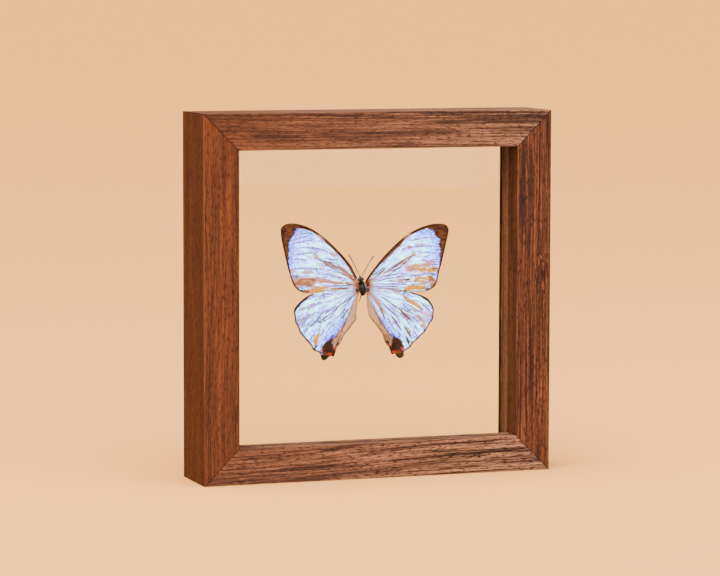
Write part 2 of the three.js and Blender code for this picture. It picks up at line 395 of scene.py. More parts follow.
WING_OUTLINES = {
    "right_forewing": [
        (1.25, 93.6), (3.4, 97.2), (9.4, 104.7), (15.7, 111.2), (21.8, 116.3), (27.9, 119.5),
        (33.9, 121.4), (38, 121.7), (41.5, 121.1), (43, 119), (42.8, 116.5), (41.4, 110), (39.9, 103.5),
        (38.3, 97.5), (37.5, 93.6), (36.2, 90.8), (33.5, 88.9), (31, 88.1), (27, 88.1), (22, 88.7),
        (15, 89.6), (7, 90.1), (2.3, 90.3), (2.05, 91.2), (1.75, 91.9), (1.42, 92.8)],
    "left_forewing": [
        (2.85, 95.2), (3.8, 97.2), (5, 99.2), (5.9, 101.1), (7.2, 102.8), (9.7, 105.7), (15.9, 111.8),
        (21.8, 116.7), (27.7, 120.6), (33.8, 122.9), (38.5, 123.6), (41.8, 123.1), (43.8, 121.4),
        (44, 119.3), (43.6, 116), (42.3, 110), (40.8, 104), (39.6, 99.7), (38.3, 95.8), (37.2, 93.4),
        (35.6, 91.4), (33.1, 89.9), (30.5, 89.1), (27, 88.9), (22, 89.4), (15, 90), (7, 90.2),
        (2.12, 90.5), (2.12, 92.4), (2.35, 93.6)],
    "right_hindwing": [
        (2.05, 91.5), (8, 91.2), (15, 90.4), (20, 89.2), (25, 87.9), (30, 86.2), (33.3, 84.2),
        (35.3, 81.3), (36, 79.4), (35.8, 76.8), (35.5, 74.2), (33.8, 72), (32.2, 69.2), (31.4, 67.9),
        (29.3, 66.2), (28.1, 64.8), (25.6, 62.7), (24.4, 60.9), (23.6, 60.1), (21.9, 59.3), (20.9, 58.1),
        (20.9, 56.5), (19.2, 55.3), (17.3, 56.1), (16.8, 57.5), (14.7, 57.4), (14.8, 59.8), (14, 61),
        (12.1, 62), (11.5, 64.5), (10.4, 67.2), (7.3, 71.5), (5, 74.4), (3.6, 76.4), (2.8, 80),
        (2.2, 84.5), (1.85, 87.2), (2.25, 88.6), (2.36, 89.3), (2.33, 90.2)],
    "left_hindwing": [
        (2.15, 91.5), (8, 91.2), (15, 90.6), (22, 89.4), (27, 88.6), (30.4, 87.3), (33.9, 84.8),
        (36, 82.5), (36.9, 80.6), (36.4, 77.5), (36.1, 75.2), (34.8, 73), (33.6, 69.9), (31.6, 67.7),
        (30.2, 65.9), (27.8, 63.5), (26.4, 60.9), (24.1, 60.1), (22.8, 59.1), (22.4, 57.5), (21.6, 56),
        (19.9, 55.9), (18.4, 57), (17.1, 57.7), (15.3, 57.4), (15.5, 60.1), (13.4, 61.9), (11.8, 63.4),
        (10.4, 66.3), (9, 68.3), (6.8, 70.4), (5.2, 72.6), (3.1, 74.8), (3, 77.5), (2.5, 84), (1.75, 87.2),
        (1.7, 88.4), (1.9, 89.3), (2.14, 90.4)]}

# Wing colours, as they lie on the scales.
PEARL = tint(150, 250, 255)
ICE = tint(128, 196, 255)
SKY = tint(80, 124, 255)
PERIWINKLE = tint(118, 128, 255)
LAVENDER = tint(146, 128, 255)
VIOLET = tint(100, 80, 190)
INDIGO = tint(52, 34, 200)
MAUVE = tint(158, 112, 166)
LILAC = tint(112, 70, 138)
PLUM = tint(66, 48, 74)
SLATE = tint(36, 28, 38)
ROSE = tint(132, 83, 79)
TAN = tint(126, 81, 48)
OCHRE = tint(145, 95, 5)
RUST = tint(84, 43, 16)
FILM = tint(137, 93, 59)
GOLD = tint(65, 33, 8)
BROWN = tint(40, 16, 5)
DARK_BROWN = tint(22, 8, 3)
NEAR_BLACK = tint(14, 7, 4)
RED = tint(116, 23, 3)
NAVY = tint(40, 34, 130)
PUPIL = tint(130, 110, 240)
SILVER = tint(206, 192, 168)
FAWN = tint(176, 150, 118)
SHADED = (0.55, 0.45, 0.72)

# Streaks of the pearly ground in the order they lie: colour, width, length, level where they begin
# and are full, and strength.
PEARL_STREAKS = [
    (PERIWINKLE, 3.2, 9, -0.2, 0.4, 0.85),
    (ICE, 2.0, 6, 0.0, 0.4, 0.8),
    (LAVENDER, 1.8, 6, 0.0, 0.35, 0.9),
    (PEARL, 1.4, 4, 0.15, 0.45, 0.95),
    (MAUVE, 1.1, 5, 0.35, 0.65, 0.9),
    (VIOLET, 0.9, 5, 0.3, 0.6, 0.9),
    (PEARL, 0.8, 2.5, 0.5, 0.75, 0.9),
    (PLUM, 0.55, 4, 0.65, 0.95, 0.9)]

# Blue beside a wing's brown: colour, strength, and how far from its line it begins and is full. Brushes
# of the fine veins: colour, width, strength and how pearly. Brown fur: its middle and its reach.
BLUE_BANDS = {
    "fore": [(SKY, 0.7, 8.0, 1.5), (INDIGO, 0.85, 2.4, 0.8)],
    "hind": [(SKY, 0.8, 4.0, 0.8), (INDIGO, 0.8, 1.8, 0.4)]}
VEIN_BRUSHES = {
    "fore": [(LAVENDER, 0.8, 0.7, 1.0), (PLUM, 0.34, 1.0, 0.2)],
    "hind": [(LAVENDER, 0.7, 0.7, 1.0), (PLUM, 0.32, 1.0, 0.2)]}
ROOT_FUR = {"fore": ((1.6, 92.4), 6.5), "hind": ((2.2, 89.6), 5.0)}
GROUND_SEED = {"fore": 60, "hind": 80}
RAY_SEED, BORDER_SEED, BLOTCH_SEED, GRAIN_SEED, MOTTLE_SEED = 3, 66, 67, 95, 33
EYESPOT_RADIUS = 1.15
PUPIL_OFFSET = np.array([-0.1, 0.3])

# Veins, from the root or the cell to the margin, drawn on the right wings.
FOREWING_VEINS = [
    [(4, 95.6), (10, 102.5), (17, 109.8), (24, 114.8), (31, 118), (39, 119.5)],
    [(20, 111.6), (22.5, 113.2), (27, 114.2), (36, 115), (41.5, 113.6)],
    [(5, 95.4), (11, 100.6), (17, 106), (21, 109.6), (28, 110.6), (38, 110.4), (41, 109)],
    [(22, 109.9), (25.4, 108), (32, 107.3), (40.2, 105.2)],
    [(25.4, 108), (25.8, 106.6), (32, 104), (39.4, 102)],
    [(3, 93), (8, 96.4), (14, 99.5), (19, 102.3), (23.4, 105.4), (25.8, 106.8)],
    [(19, 102.3), (27, 101.3), (38.6, 99)],
    [(13, 99), (22, 97.2), (38, 96)],
    [(3, 92.2), (12, 93.6), (24, 93.4), (37.4, 92.6)],
    [(3, 91.6), (15, 90.8), (31, 89.4)]]
HINDWING_VEINS = [
    [(3, 89.2), (12, 88.3), (22, 87), (31, 84.6)],
    [(3, 89), (10, 86.6), (20, 84), (28, 81.6), (35.6, 79.2)],
    [(3.4, 88.6), (9, 86), (16, 81.5), (22, 77.6), (29, 75.4), (35, 74.4)],
    [(20, 78.8), (26, 73.4), (31.6, 69)],
    [(3.4, 88.4), (9, 83.4), (15, 78.6), (21, 72.6), (28, 65)],
    [(9, 83.4), (14, 77.2), (19, 70.6), (23.9, 60.6)],
    [(3.2, 88), (8, 82.4), (13, 75), (18.2, 67), (20.4, 60)],
    [(2.8, 87.8), (6.6, 80.6), (11.6, 72), (15.4, 66)]]
LEFT_TURN = np.radians(2.0)
FOLD_CLEAR = 0.3
COSTA_OUT = (0, 4, 8, 14, 19, 21, 24, 28, 32, 36)
FLOW_ROOT = {"fore": (-1.0, 92.0), "hind": (2.6, 89.4)}
FLOW_TURN = 24.0
UNDERSIDE_EYES = [
    [((36, 112), 0.9), ((35.6, 106), 0.7), ((35, 100), 0.9), ((33, 94), 1.0)],
    [((31, 79), 1.2), ((28, 72), 1.0), ((23.6, 66.4), 0.9), ((14.5, 68), 0.8)]]
TURN_ABOUT = np.array([0, 91.0])
UPPER_SEED, LOWER_SEED = 40, 50


def smooth_margin(points, count):
    """Closed Catmull-Rom curve through the points, resampled at even steps of its length."""
    points = np.array(points, float)
    padded = np.vstack([points[-1:], points, points[:2]])
    place = np.linspace(0, len(points), CURVE_STEPS * len(points))
    span = np.minimum(place.astype(int), len(points) - 1)
    t = (place - span)[:, None]
    before, here, after, beyond = (padded[span + k] for k in range(4))
    curve = here + 0.5 * t * (after - before)
    curve += 0.5 * t ** 2 * (2 * before - 5 * here + 4 * after - beyond)
    curve += 0.5 * t ** 3 * (3 * here - before - 3 * after + beyond)
    length = np.append(0, np.cumsum(np.linalg.norm(np.diff(curve, axis=0), axis=1)))
    even = np.linspace(0, length[-1], count, endpoint=False)
    return np.stack([np.interp(even, length, curve[:, axis]) for axis in range(2)], axis=1)


def eased_step(low, high, values):
    """0 below low, 1 above high, with a smooth S between."""
    share = np.clip((values - low) / (high - low), 0, 1)
    return share * share * (3 - 2 * share)


def nearest(spots, path):
    """Distance of each spot from a line through the path's points, and the share of the path run."""
    path = np.array(path, float)
    start, step = path[:-1], np.diff(path, axis=0)
    gap = spots[:, None, :] - start[None]
    share = np.clip((gap * step).sum(2) / (step ** 2).sum(1), 0, 1)
    distance = np.linalg.norm(gap - share[..., None] * step, axis=2)
    pick = distance.argmin(1)
    every = np.arange(len(spots))
    return distance[every, pick], (pick + share[every, pick]) / len(step)


def inside(spots, outline):
    """Signed distance into a closed outline: positive inside, found by counting crossings."""
    outline = np.array(outline, float)
    ring = np.vstack([outline, outline[:1]])
    (x0, y0), (x1, y1) = ring[:-1].T, ring[1:].T
    x, y = spots[:, :1], spots[:, 1:]
    spans = (y0 > y) != (y1 > y)
    rise = np.where(y1 == y0, 1, y1 - y0)
    crossings = spans & (x < x0 + (y - y0) * (x1 - x0) / rise)
    distance = nearest(spots, ring)[0]
    return np.where(crossings.sum(1) % 2 == 1, distance, -distance)


def mottle(spots, size, seed):
    """Smooth random ups and downs about zero: waves of roughly one size in random directions."""
    draw = np.random.default_rng(seed)
    turn, phase = draw.uniform(0, 2 * np.pi, (2, MOTTLE_WAVES))
    pitch = 2 * np.pi / (size * draw.uniform(0.6, 1.6, MOTTLE_WAVES))
    wave = np.stack([np.cos(turn), np.sin(turn)]) * pitch
    return np.sin(spots @ wave + phase).sum(1) / np.sqrt(MOTTLE_WAVES)


def strands(across, along, width, length, seed):
    """Random streaks about zero: each strand of a width has its own smooth ups and downs of a length
    along it, and neighbouring strands melt into each other."""
    draw = np.random.default_rng(seed)
    lattice = draw.normal(size=(STRAND_COUNT, STRAND_LEVELS))
    offset = draw.uniform(0, STRAND_LEVELS, STRAND_COUNT)
    row = np.floor(across / width).astype(int)
    value = 0
    for step in (0, 1):
        strand = (row + step) % STRAND_COUNT
        place = along / length + offset[strand]
        first = np.floor(place).astype(int)
        share = eased_step(0, 1, place - first)
        here, ahead = (lattice[strand, (first + k) % STRAND_LEVELS] for k in (0, 1))
        level = here * (1 - share) + ahead * share
        value = value + level * eased_step(1, 0, np.abs(across / width - row - step))
    return value


class Scales:
    """The scales of one face of a wing: a colour, how pearly and how opaque each spot is. Flow says
    which strand a spot lies on and how far along, vein_gap how far the nearest vein is, edge how far
    the margin is, and run which share of the margin lies before the nearest point on it."""

    def __init__(self, spots, flow, vein_gap, margin, seed):
        self.spots = spots
        self.flow = flow
        self.vein_gap = vein_gap
        ring = np.vstack([margin, margin[:1]])[::MARGIN_STRIDE]
        blocks = [nearest(block, ring) for block in np.array_split(spots, SPOT_BLOCKS)]
        self.edge, self.run = np.hstack(blocks)
        self.ragged = 0.16 * mottle(spots, 1.3, seed) + 0.1 * mottle(spots, 0.5, seed + 1)
        self.fray = 0.3 * strands(*flow, 0.4, 3, seed + 2) + self.ragged
        self.worn = 0.35 * eased_step(0.4, 0.9, strands(*flow, 0.7, 2, seed + 3))
        self.colour = np.tile(np.array(PEARL), (len(spots), 1))
        self.pearl = np.ones(len(spots))
        self.opaque = np.ones(len(spots))

    def lay(self, mask, colour, pearly=0.0):
        """Lays a colour over the face wherever the mask, from 0 to 1, says."""
        self.colour += mask[:, None] * (np.array(colour) - self.colour)
        self.pearl += mask * (pearly - self.pearl)

    def streak(self, colour, width, length, low, high, strength, seed, pearly=1.0):
        """Streaks along the flow: strands whose random level lies above low, full above high."""
        level = strands(*self.flow, width, length, seed)
        self.lay(strength * eased_step(low, high, level), colour, pearly)

    def stroke(self, colour, width, strength, path, pearly=0.0):
        """A brush line along a path, thinning towards both ends, with a frayed edge."""
        path = np.array(path, float)
        beyond = np.maximum(path.min(0) - self.spots, self.spots - path.max(0)).max(1)
        close = beyond < 2.5 * width
        distance, along = nearest(self.spots[close], path)
        reach = width * (0.45 + 0.55 * np.sqrt(np.clip(4 * along * (1 - along), 0, 1)))
        frayed = distance + 0.6 * self.fray[close] * width
        mask = np.zeros(len(self.spots))
        mask[close] = strength * eased_step(1.2 * reach, 0.8 * reach, frayed) * (1 - self.worn[close])
        self.lay(mask, colour, pearly)

    def fill(self, colour, soft, strength, outline, pearly=0.0):
        """A filled outline with an edge that is soft and a little frayed. Returns what it covered."""
        covered = strength * eased_step(-soft, soft, inside(self.spots, outline) + self.fray)
        self.lay(covered, colour, pearly)
        return covered


# Marks on the wings, in millimetres out and up. A stroke has a colour, a width, a strength and a path.
FOREWING_MARKS = {
    "right_forewing": {
        "corners": [(42.9, 119), (33.5, 88.9)],
        "costa": (1.0, 1.2, 1.5, 2.2, 2.2, 1.5, 1.5, 1.5, 1.7, 2.0),
        "apex": [
            (31, 121.5), (33, 119.2), (35, 118.3), (36.2, 116.6), (36.9, 115.2), (38.3, 114), (38, 111.5),
            (38.7, 109.5), (38.6, 106), (38.7, 103), (38.3, 99.5), (38.2, 97), (46, 97), (46, 125)],
        "blue": [(30, 117.8), (34.4, 117.4), (36.6, 112.5), (37.6, 108), (37.8, 103)],
        "window": [(20.9, 114.4), (22.6, 116), (24, 116.6)],
        "gold": [[(38, 116.4), (40.6, 117)], [(39.6, 112.9), (40.3, 111.4)], [(40, 108.6), (39.6, 104)]],
        "eyespot": (32.3, 90.2),
        "tornus": [(33, 96.4), (35, 96), (36.4, 93.6), (36, 91.4), (33.6, 90.4), (33, 92.6)],
        "strokes": [
            (OCHRE, 2.3, 1, [(22.8, 99.4), (27, 99.8), (31, 99.9), (38, 99.2)]),
            (RUST, 0.81, 0.9, [(35, 99.4), (38.2, 99.1)]),
            (ROSE, 0.97, 0.9, [(22.8, 99.4), (25.4, 99.6)]),
            (TAN, 0.73, 1, [(17.4, 93.4), (20, 93.9), (23.4, 94.1)]),
            (OCHRE, 1.8, 1, [(26.2, 93.6), (28, 94.5), (30.4, 94.4), (34, 94.5)]),
            (OCHRE, 2.5, 1, [(22, 89.5), (25, 89.3), (28, 89), (31.6, 89.2)]),
            (OCHRE, 1.8, 1, [(26.8, 90.8), (29, 90.9), (31.5, 90.6)]),
            (RUST, 1.3, 0.95, [(34.2, 95.4), (35, 93), (34.4, 90.6)]),
            (ROSE, 1.3, 0.9, [(36.4, 92.6), (35.4, 90.8)]),
            (ROSE, 0.83, 0.9, [(32, 92.4), (30.4, 91.8)]),
            (ROSE, 0.9, 0.95, [(19.6, 108.9), (21.6, 109.8)]),
            (TAN, 0.83, 1, [(22.2, 110.5), (24.5, 110.3)]),
            (TAN, 0.83, 1, [(10.4, 97.6), (15.5, 100.4), (20, 103.4), (24, 106)]),
            (SLATE, 0.38, 1, [(12.6, 97), (18, 100), (22, 103.4), (24.6, 105.6)]),
            (SLATE, 0.38, 0.95, [(11, 98.4), (16, 101), (20, 103.8)]),
            (TAN, 0.9, 1, [(24.6, 106), (25.6, 107), (24.8, 108)]),
            (RUST, 0.64, 1, [(7.2, 96.6), (9.8, 98.6), (11.4, 99.8)]),
            (SLATE, 0.38, 1, [(5.8, 97), (8, 98.8), (10.6, 100.6)]),
            (SLATE, 0.38, 0.95, [(16.4, 95.6), (20, 96.2)]),
            (SLATE, 0.38, 1, [(21, 94.2), (25, 94.6)]),
            (SLATE, 0.38, 1, [(22.6, 92.9), (26.4, 93.4)]),
            (ROSE, 0.46, 0.95, [(6, 90.1), (14, 90), (22, 90.3)]),
            (ROSE, 0.97, 0.9, [(31.5, 102.9), (36, 102.4)]),
            (ROSE, 0.7, 0.9, [(26, 111.6), (31, 111.7)]),
            (PLUM, 0.46, 0.95, [(33.6, 97.3), (36, 96.6)])],
        "veins": [
            [(22.5, 113.2), (27, 114.1), (32, 114.9), (37, 115)],
            [(25, 110.4), (31, 110.8), (38, 110.4)],
            [(27, 108), (32, 107.6), (38.4, 106.9)],
            [(29, 103.6), (32, 103.3), (38.2, 104)],
            [(25, 101.5), (33, 101.2), (38, 101.6)],
            [(23, 96.2), (28, 96.4), (33, 97.4), (37.6, 96.8)],
            [(6, 94), (10, 96.2), (17, 97.1), (22, 97.4)],
            [(6, 93.4), (12, 95), (18, 95.6)],
            [(6, 92.4), (14, 92.2), (22, 92)],
            [(5, 91.2), (12, 91.1), (20, 90.9)]]},
    "left_forewing": {
        "corners": [(43.6, 119.3), (33, 90.2)],
        "costa": (1.2, 1.6, 1.8, 1.5, 1.8, 1.4, 1.4, 1.5, 1.9, 2.2),
        "apex": [
            (30, 122.5), (32, 121.2), (34.8, 120.9), (36.3, 119.7), (37.1, 118.2), (38.4, 116.4),
            (39.3, 114.8), (39.8, 112), (39.9, 108), (39.7, 104), (39.5, 101.6), (39, 99), (46, 99),
            (46, 127), (30, 127)],
        "blue": [(30, 119.2), (35.4, 119), (37.8, 115.5), (39, 111), (39, 104.5)],
        "window": [(21.3, 114.8), (22.6, 115.9), (24.4, 117.2)],
        "gold": [[(37.8, 118.6), (41.6, 119)], [(40.4, 116), (41.8, 115)], [(41.2, 112.6), (41, 105)]],
        "eyespot": (32.2, 91.1),
        "tornus": [(24.5, 94.4), (27, 96.4), (37, 96.2), (37.4, 94), (35.4, 91.8), (33.4, 92.6), (29, 92.2)],
        "strokes": [
            (TAN, 0.9, 1, [(15, 93.9), (19, 94.5), (22, 94.8)]),
            (OCHRE, 1.7, 1, [(20, 94.7), (24, 95.1), (28, 95.3), (32, 95.4), (36.8, 95)]),
            (ROSE, 0.56, 0.95, [(16, 94.4), (22, 95.6), (28, 96.2), (34, 96.1)]),
            (TAN, 1.2, 1, [(8, 90.3), (14, 90.2), (19, 90.1)]),
            (OCHRE, 2.2, 1, [(18, 90.2), (23, 90.2), (27, 90), (31, 90.2)]),
            (RUST, 0.81, 1, [(29, 90), (32, 89.8)]),
            (ROSE, 1.3, 0.95, [(27.8, 99.6), (30, 99.8), (32.9, 99.7)]),
            (PLUM, 1.1, 0.9, [(34.9, 97.6), (37, 97.6)]),
            (ROSE, 0.97, 0.95, [(36.4, 100.3), (39, 100.6)]),
            (ROSE, 0.97, 0.9, [(37.6, 98.6), (37.2, 96.2)]),
            (TAN, 1.6, 0.9, [(33.2, 94.4), (36.8, 94.6)]),
            (ROSE, 1.3, 0.9, [(33, 92.9), (35.6, 92.4)]),
            (ROSE, 0.97, 0.9, [(26, 92.6), (30, 92.8)]),
            (TAN, 1.2, 1, [(3.6, 93.8), (7, 96.6), (10, 99.2), (13.4, 102)]),
            (RUST, 0.69, 0.9, [(4, 94), (8, 97.4), (12.6, 101.2)]),
            (TAN, 0.9, 1, [(8, 97.2), (11, 99), (15.5, 101.8), (19, 103.6), (22, 105)]),
            (ROSE, 0.83, 0.95, [(24, 106), (26.2, 107.6), (25.2, 109.6)]),
            (PLUM, 0.41, 0.95, [(8, 96.2), (14, 99.6), (20, 102.9), (24, 105.4)]),
            (PLUM, 0.38, 0.95, [(9, 98.4), (13, 100.8), (18, 103.6), (21.6, 104.9)]),
            (PLUM, 0.41, 0.95, [(12, 102), (15, 103.2), (18.6, 104.2)]),
            (RUST, 0.69, 1, [(3, 92.3), (7, 92.9), (10, 93.3)]),
            (TAN, 0.73, 1, [(9, 93.2), (14, 93.5), (18, 94)]),
            (ROSE, 0.83, 0.95, [(14.4, 106.6), (17.6, 108.6)]),
            (SLATE, 0.38, 1, [(8, 91), (13.6, 91)])],
        "veins": [
            [(17.5, 107.8), (20, 109.6), (24, 110.6), (28, 111.5), (33, 111.6), (37.4, 111)],
            [(24, 109.9), (28, 108.9), (33, 108.6), (37, 108.3)],
            [(32.4, 105.8), (37.4, 106)],
            [(31, 101.5), (36, 101.4), (39, 100.8)],
            [(27, 115.1), (33, 114.4), (38.5, 113.4)],
            [(29, 117.2), (34, 116.4), (38, 115)],
            [(27, 118), (30, 118.7), (34, 118)],
            [(14, 97), (18, 97.8), (22, 98)],
            [(12, 105.4), (16, 105), (21, 106)],
            [(6, 91.9), (14, 92.2), (22, 91.8)],
            [(9, 95.4), (12, 96), (18, 97)]]}}

HINDWING_MARKS = {
    "right_hindwing": {
        "corners": [(25, 87.7), (21.7, 59.5), (12.3, 62.2)],
        "fold": [(0, 90), (2.6, 88.2), (4.6, 83), (7.3, 78), (9.6, 74), (12, 69.8), (14.4, 66.7), (15.6, 65),
                 (15.4, 62), (14.6, 60), (9, 60), (0, 76)],
        "blue": [(9.8, 74.6), (12.4, 70.4), (15.6, 66.8), (17.4, 66)],
        "deep_blue": [(14.8, 67.4), (15.9, 66.4)],
        "patch": [(15.2, 66.8), (16.5, 65.9), (18, 65.6), (19.6, 64.4), (20.6, 62.6), (21.2, 61),
                  (20.6, 58.4), (15, 58.4), (14.4, 61.5), (15, 63.5)],
        "tail": [(13.6, 61.4), (16, 61), (20.4, 60.6), (22, 59.4), (22, 54), (13, 56)],
        "ember": [(17.2, 58.7), (18.2, 58.5), (19.4, 58.4)],
        "brown_fold": [(12.2, 67), (13.8, 65.4), (14.8, 63.4)],
        "lobe": [(17.7, 56.6), (19.3, 56.6), (20.5, 57)],
        "reds": [
            [(19.4, 60.6), (20.2, 59.8), (21.2, 59.2)], [(15.3, 58.6), (17, 58.5)],
            [(13.2, 62.3), (14.4, 61.7)]],
        "inner_dark": [(11.8, 63.4), (13.9, 63.2)],
        "upper_edge": [(29.5, 86.3), (33, 83.9), (35.2, 81.2), (36, 79.4)],
        "knots": [(31.6, 68.8), (28, 64.8), (24.2, 60.6)],
        "strokes": [
            (TAN, 0.97, 1, [(20.6, 86), (22.5, 84.6), (26, 82.2), (30.2, 79.1)]),
            (OCHRE, 0.85, 0.9, [(23, 84.2), (26, 82.2), (28, 80.8)]),
            (MAUVE, 1.1, 0.95, [(29.5, 78.4), (34.6, 75)]),
            (ROSE, 0.67, 0.9, [(24, 80.2), (28, 78)]),
            (TAN, 0.9, 1, [(27.4, 76.4), (29.4, 74.8), (31, 72.4)]),
            (OCHRE, 1, 1, [(30, 74), (31, 72.4), (31.5, 70.6)]),
            (ROSE, 0.92, 0.95, [(6, 85.4), (7.8, 83), (9, 80.4)]),
            (TAN, 0.9, 1, [(3.4, 88), (6, 85.2), (8.6, 82.4), (9.8, 79), (10.8, 76)]),
            (RUST, 0.5, 1, [(9, 80.6), (10, 78), (11.2, 75)]),
            (PLUM, 0.41, 0.95, [(9.6, 86), (12.6, 84), (16, 81.5)]),
            (RUST, 0.61, 1, [(14.6, 82.4), (20, 78.4), (22, 76.4), (24.4, 73.6)]),
            (PLUM, 0.41, 0.95, [(11.6, 81), (14, 79.2), (16, 77)]),
            (SLATE, 0.38, 0.95, [(20.4, 82), (23, 79.4), (25.6, 77.2)]),
            (PLUM, 0.38, 0.95, [(24.6, 73.4), (26.4, 71.4), (28.4, 68.6)]),
            (RUST, 0.56, 1, [(14.6, 76.4), (17, 73.2), (19.4, 69.6)]),
            (SLATE, 0.38, 1, [(18.3, 68.6), (18.9, 65.4)]),
            (RUST, 0.56, 1, [(21, 71.2), (23.2, 67.8), (25, 64.8)]),
            (BROWN, 0.58, 1, [(22.2, 65.8), (23.2, 63.4), (23.5, 61.4)]),
            (ROSE, 0.92, 0.95, [(15.5, 88.5), (18.8, 88.2)]),
            (SLATE, 0.38, 0.95, [(18.6, 89), (22, 88.4), (26, 87.5)])],
        "veins": [
            [(20, 83.6), (25, 80.6), (30, 77.4)], [(12, 80.4), (16, 77.4), (19, 74)],
            [(12.6, 76), (14.6, 72), (16, 69)], [(24, 77), (28, 73.4)], [(10, 83), (14, 79.4)],
            [(30, 82), (34, 78.6)], [(21, 76), (24, 72)], [(26, 68.6), (27.4, 66)]]},
    "left_hindwing": {
        "corners": [(27, 88.5), (22.6, 59.3), (12.2, 63.6)],
        "fold": [(0, 90), (2.8, 88), (4.4, 84.6), (6.6, 80), (9, 75), (12, 70.4), (14.6, 67.2), (16, 65.8),
                 (16.4, 62), (15, 59.4), (9, 60), (0, 74)],
        "blue": [(9.6, 75.4), (12.4, 71), (16, 67.6), (19.4, 66.2)],
        "deep_blue": [(15.6, 67.8), (17, 66.5)],
        "patch": [(16.4, 66.8), (18.5, 65.6), (20.6, 64.4), (21.9, 62.8), (22.4, 61.2), (22, 58.4),
                  (16, 58.4), (15.6, 61.5), (15.9, 64)],
        "tail": [(14.6, 61.4), (17, 61), (22, 60.6), (23.6, 59.6), (23, 54), (13.6, 56)],
        "ember": [(19, 59.2), (20.2, 59), (21.4, 58.8)],
        "brown_fold": [(13, 67.4), (14.8, 65.4), (15.6, 63.4)],
        "lobe": [(18.9, 57.2), (20.6, 57), (21.8, 57.2)],
        "reds": [
            [(21.4, 61), (22, 60.6), (22.8, 60.2)], [(16.9, 58.7), (18.3, 58.6)],
            [(14, 62.3), (15.4, 60.9)]],
        "inner_dark": [(12.4, 63.6), (14.6, 63)],
        "upper_edge": [(30, 86.9), (33.4, 84.5), (35.6, 82.2), (36.5, 80.6)],
        "knots": [(33.4, 69.8), (30, 66), (26.1, 61.4)],
        "strokes": [
            (OCHRE, 1.2, 1, [(23.9, 69), (24.9, 66), (25.9, 63.6)]),
            (BROWN, 0.6, 1, [(24.7, 63.2), (25.8, 61.4)]),
            (LILAC, 0.54, 0.95, [(22.4, 85), (24, 84)]),
            (LILAC, 0.71, 0.95, [(26, 83.8), (27, 83), (29.8, 81)]),
            (PLUM, 0.46, 0.95, [(17.3, 80.9), (20.4, 78.4)]),
            (PLUM, 0.46, 0.95, [(23, 77), (27.6, 72.8)]),
            (LILAC, 0.76, 0.95, [(28, 79), (31, 76), (32.5, 73.6)]),
            (SLATE, 0.38, 1, [(3.4, 88.2), (6.4, 85.4), (9.2, 82.5)]),
            (PLUM, 0.41, 0.95, [(6.5, 86.5), (12.5, 82.2), (16, 79.3)]),
            (SLATE, 0.41, 1, [(7.4, 81), (9, 78.6), (10.5, 75.8)]),
            (PLUM, 0.41, 0.95, [(9, 82), (10.6, 78), (12.2, 74.8)]),
            (PLUM, 0.41, 0.95, [(22.4, 73), (23.6, 70)]),
            (ROSE, 0.67, 0.9, [(31.6, 81.6), (34, 81.8)])],
        "veins": [
            [(20.6, 71), (22.6, 68)], [(26, 69), (28, 66.6)], [(19, 68.6), (20.6, 65.4)],
            [(14, 82.6), (19, 79)], [(12, 78), (14.6, 75.6)], [(25, 80), (29, 77)],
            [(22, 78.6), (25, 76)], [(29, 74), (31, 71)],
            [(16, 88), (20, 88.2)], [(14.4, 86.8), (14.6, 85)]]}}


def gap_to_veins(spots, veins, turn):
    """Distance from each spot to the nearest vein, the veins turned with their wing."""
    rotation = np.array([[np.cos(turn), np.sin(turn)], [-np.sin(turn), np.cos(turn)]])
    paths = [(np.array(path) - TURN_ABOUT) @ rotation + TURN_ABOUT for path in veins]
    return np.min([nearest(spots, path)[0] for path in paths], axis=0)


def wing_flow(spots, hind):
    """Which strand a spot lies on and how far along: strands fan out from the root, and those of a
    forewing turn level beyond its cell."""
    out, up = (spots - np.array(FLOW_ROOT["hind" if hind else "fore"])).T
    if hind:
        return FLOW_TURN * np.arctan2(up, out), np.hypot(out, up)
    turned = -4 * np.logaddexp(-out / 4, -FLOW_TURN / 4)
    return FLOW_TURN * up / turned, out


def paint_ground(scales, marks, pair):
    """Pearly ground: streaks from periwinkle and ice to lavender, mauve, violet and plum, each finer
    than the last, with pearl white let in between. Dark threads run along the veins, a deeper blue
    lies beside the brown, and the fine veins are drawn last."""
    for number, streak in enumerate(PEARL_STREAKS):
        scales.streak(*streak, GROUND_SEED[pair] + number)
    scales.lay(0.5 * eased_step(0.32, 0.1, scales.vein_gap + 0.3 * scales.fray), PLUM, 0.3)
    distance = nearest(scales.spots, marks["blue"])[0] + 1.2 * scales.fray
    for colour, strength, far, near in BLUE_BANDS[pair]:
        scales.lay(strength * eased_step(far, near, distance), colour, 1.0)
    for path in marks["veins"]:
        for colour, width, strength, pearly in VEIN_BRUSHES[pair]:
            scales.stroke(colour, width, strength, path, pearly)


def paint_root(scales, pair):
    """Brown fur and scales fan out from the root in streaks that fade with the distance."""
    centre, reach = ROOT_FUR[pair]
    away = np.linalg.norm(scales.spots - np.array(centre), axis=1)
    rays = strands(*scales.flow, 1.4, 30, RAY_SEED)
    scales.lay(0.95 * eased_step(reach, 0.5 * reach, away - 1.6 * rays), TAN)
    scales.lay(0.9 * eased_step(0.6 * reach, 0.3 * reach, away - 0.9 * rays), RUST)
    scales.lay(eased_step(0.32 * reach, 0.2 * reach, away), BROWN)


def paint_eyespot(scales, centre, radius):
    """A small eye: a dark ring round a pale blue pupil set off its middle."""
    from_centre = scales.spots - np.array(centre)
    gap = np.linalg.norm(from_centre, axis=1) / radius
    scales.lay(0.9 * eased_step(1.2, 0.8, gap + 0.5 * scales.ragged), DARK_BROWN)
    pupil = np.linalg.norm(from_centre - PUPIL_OFFSET, axis=1) / radius
    scales.lay(0.95 * eased_step(0.7, 0.45, pupil), PUPIL)


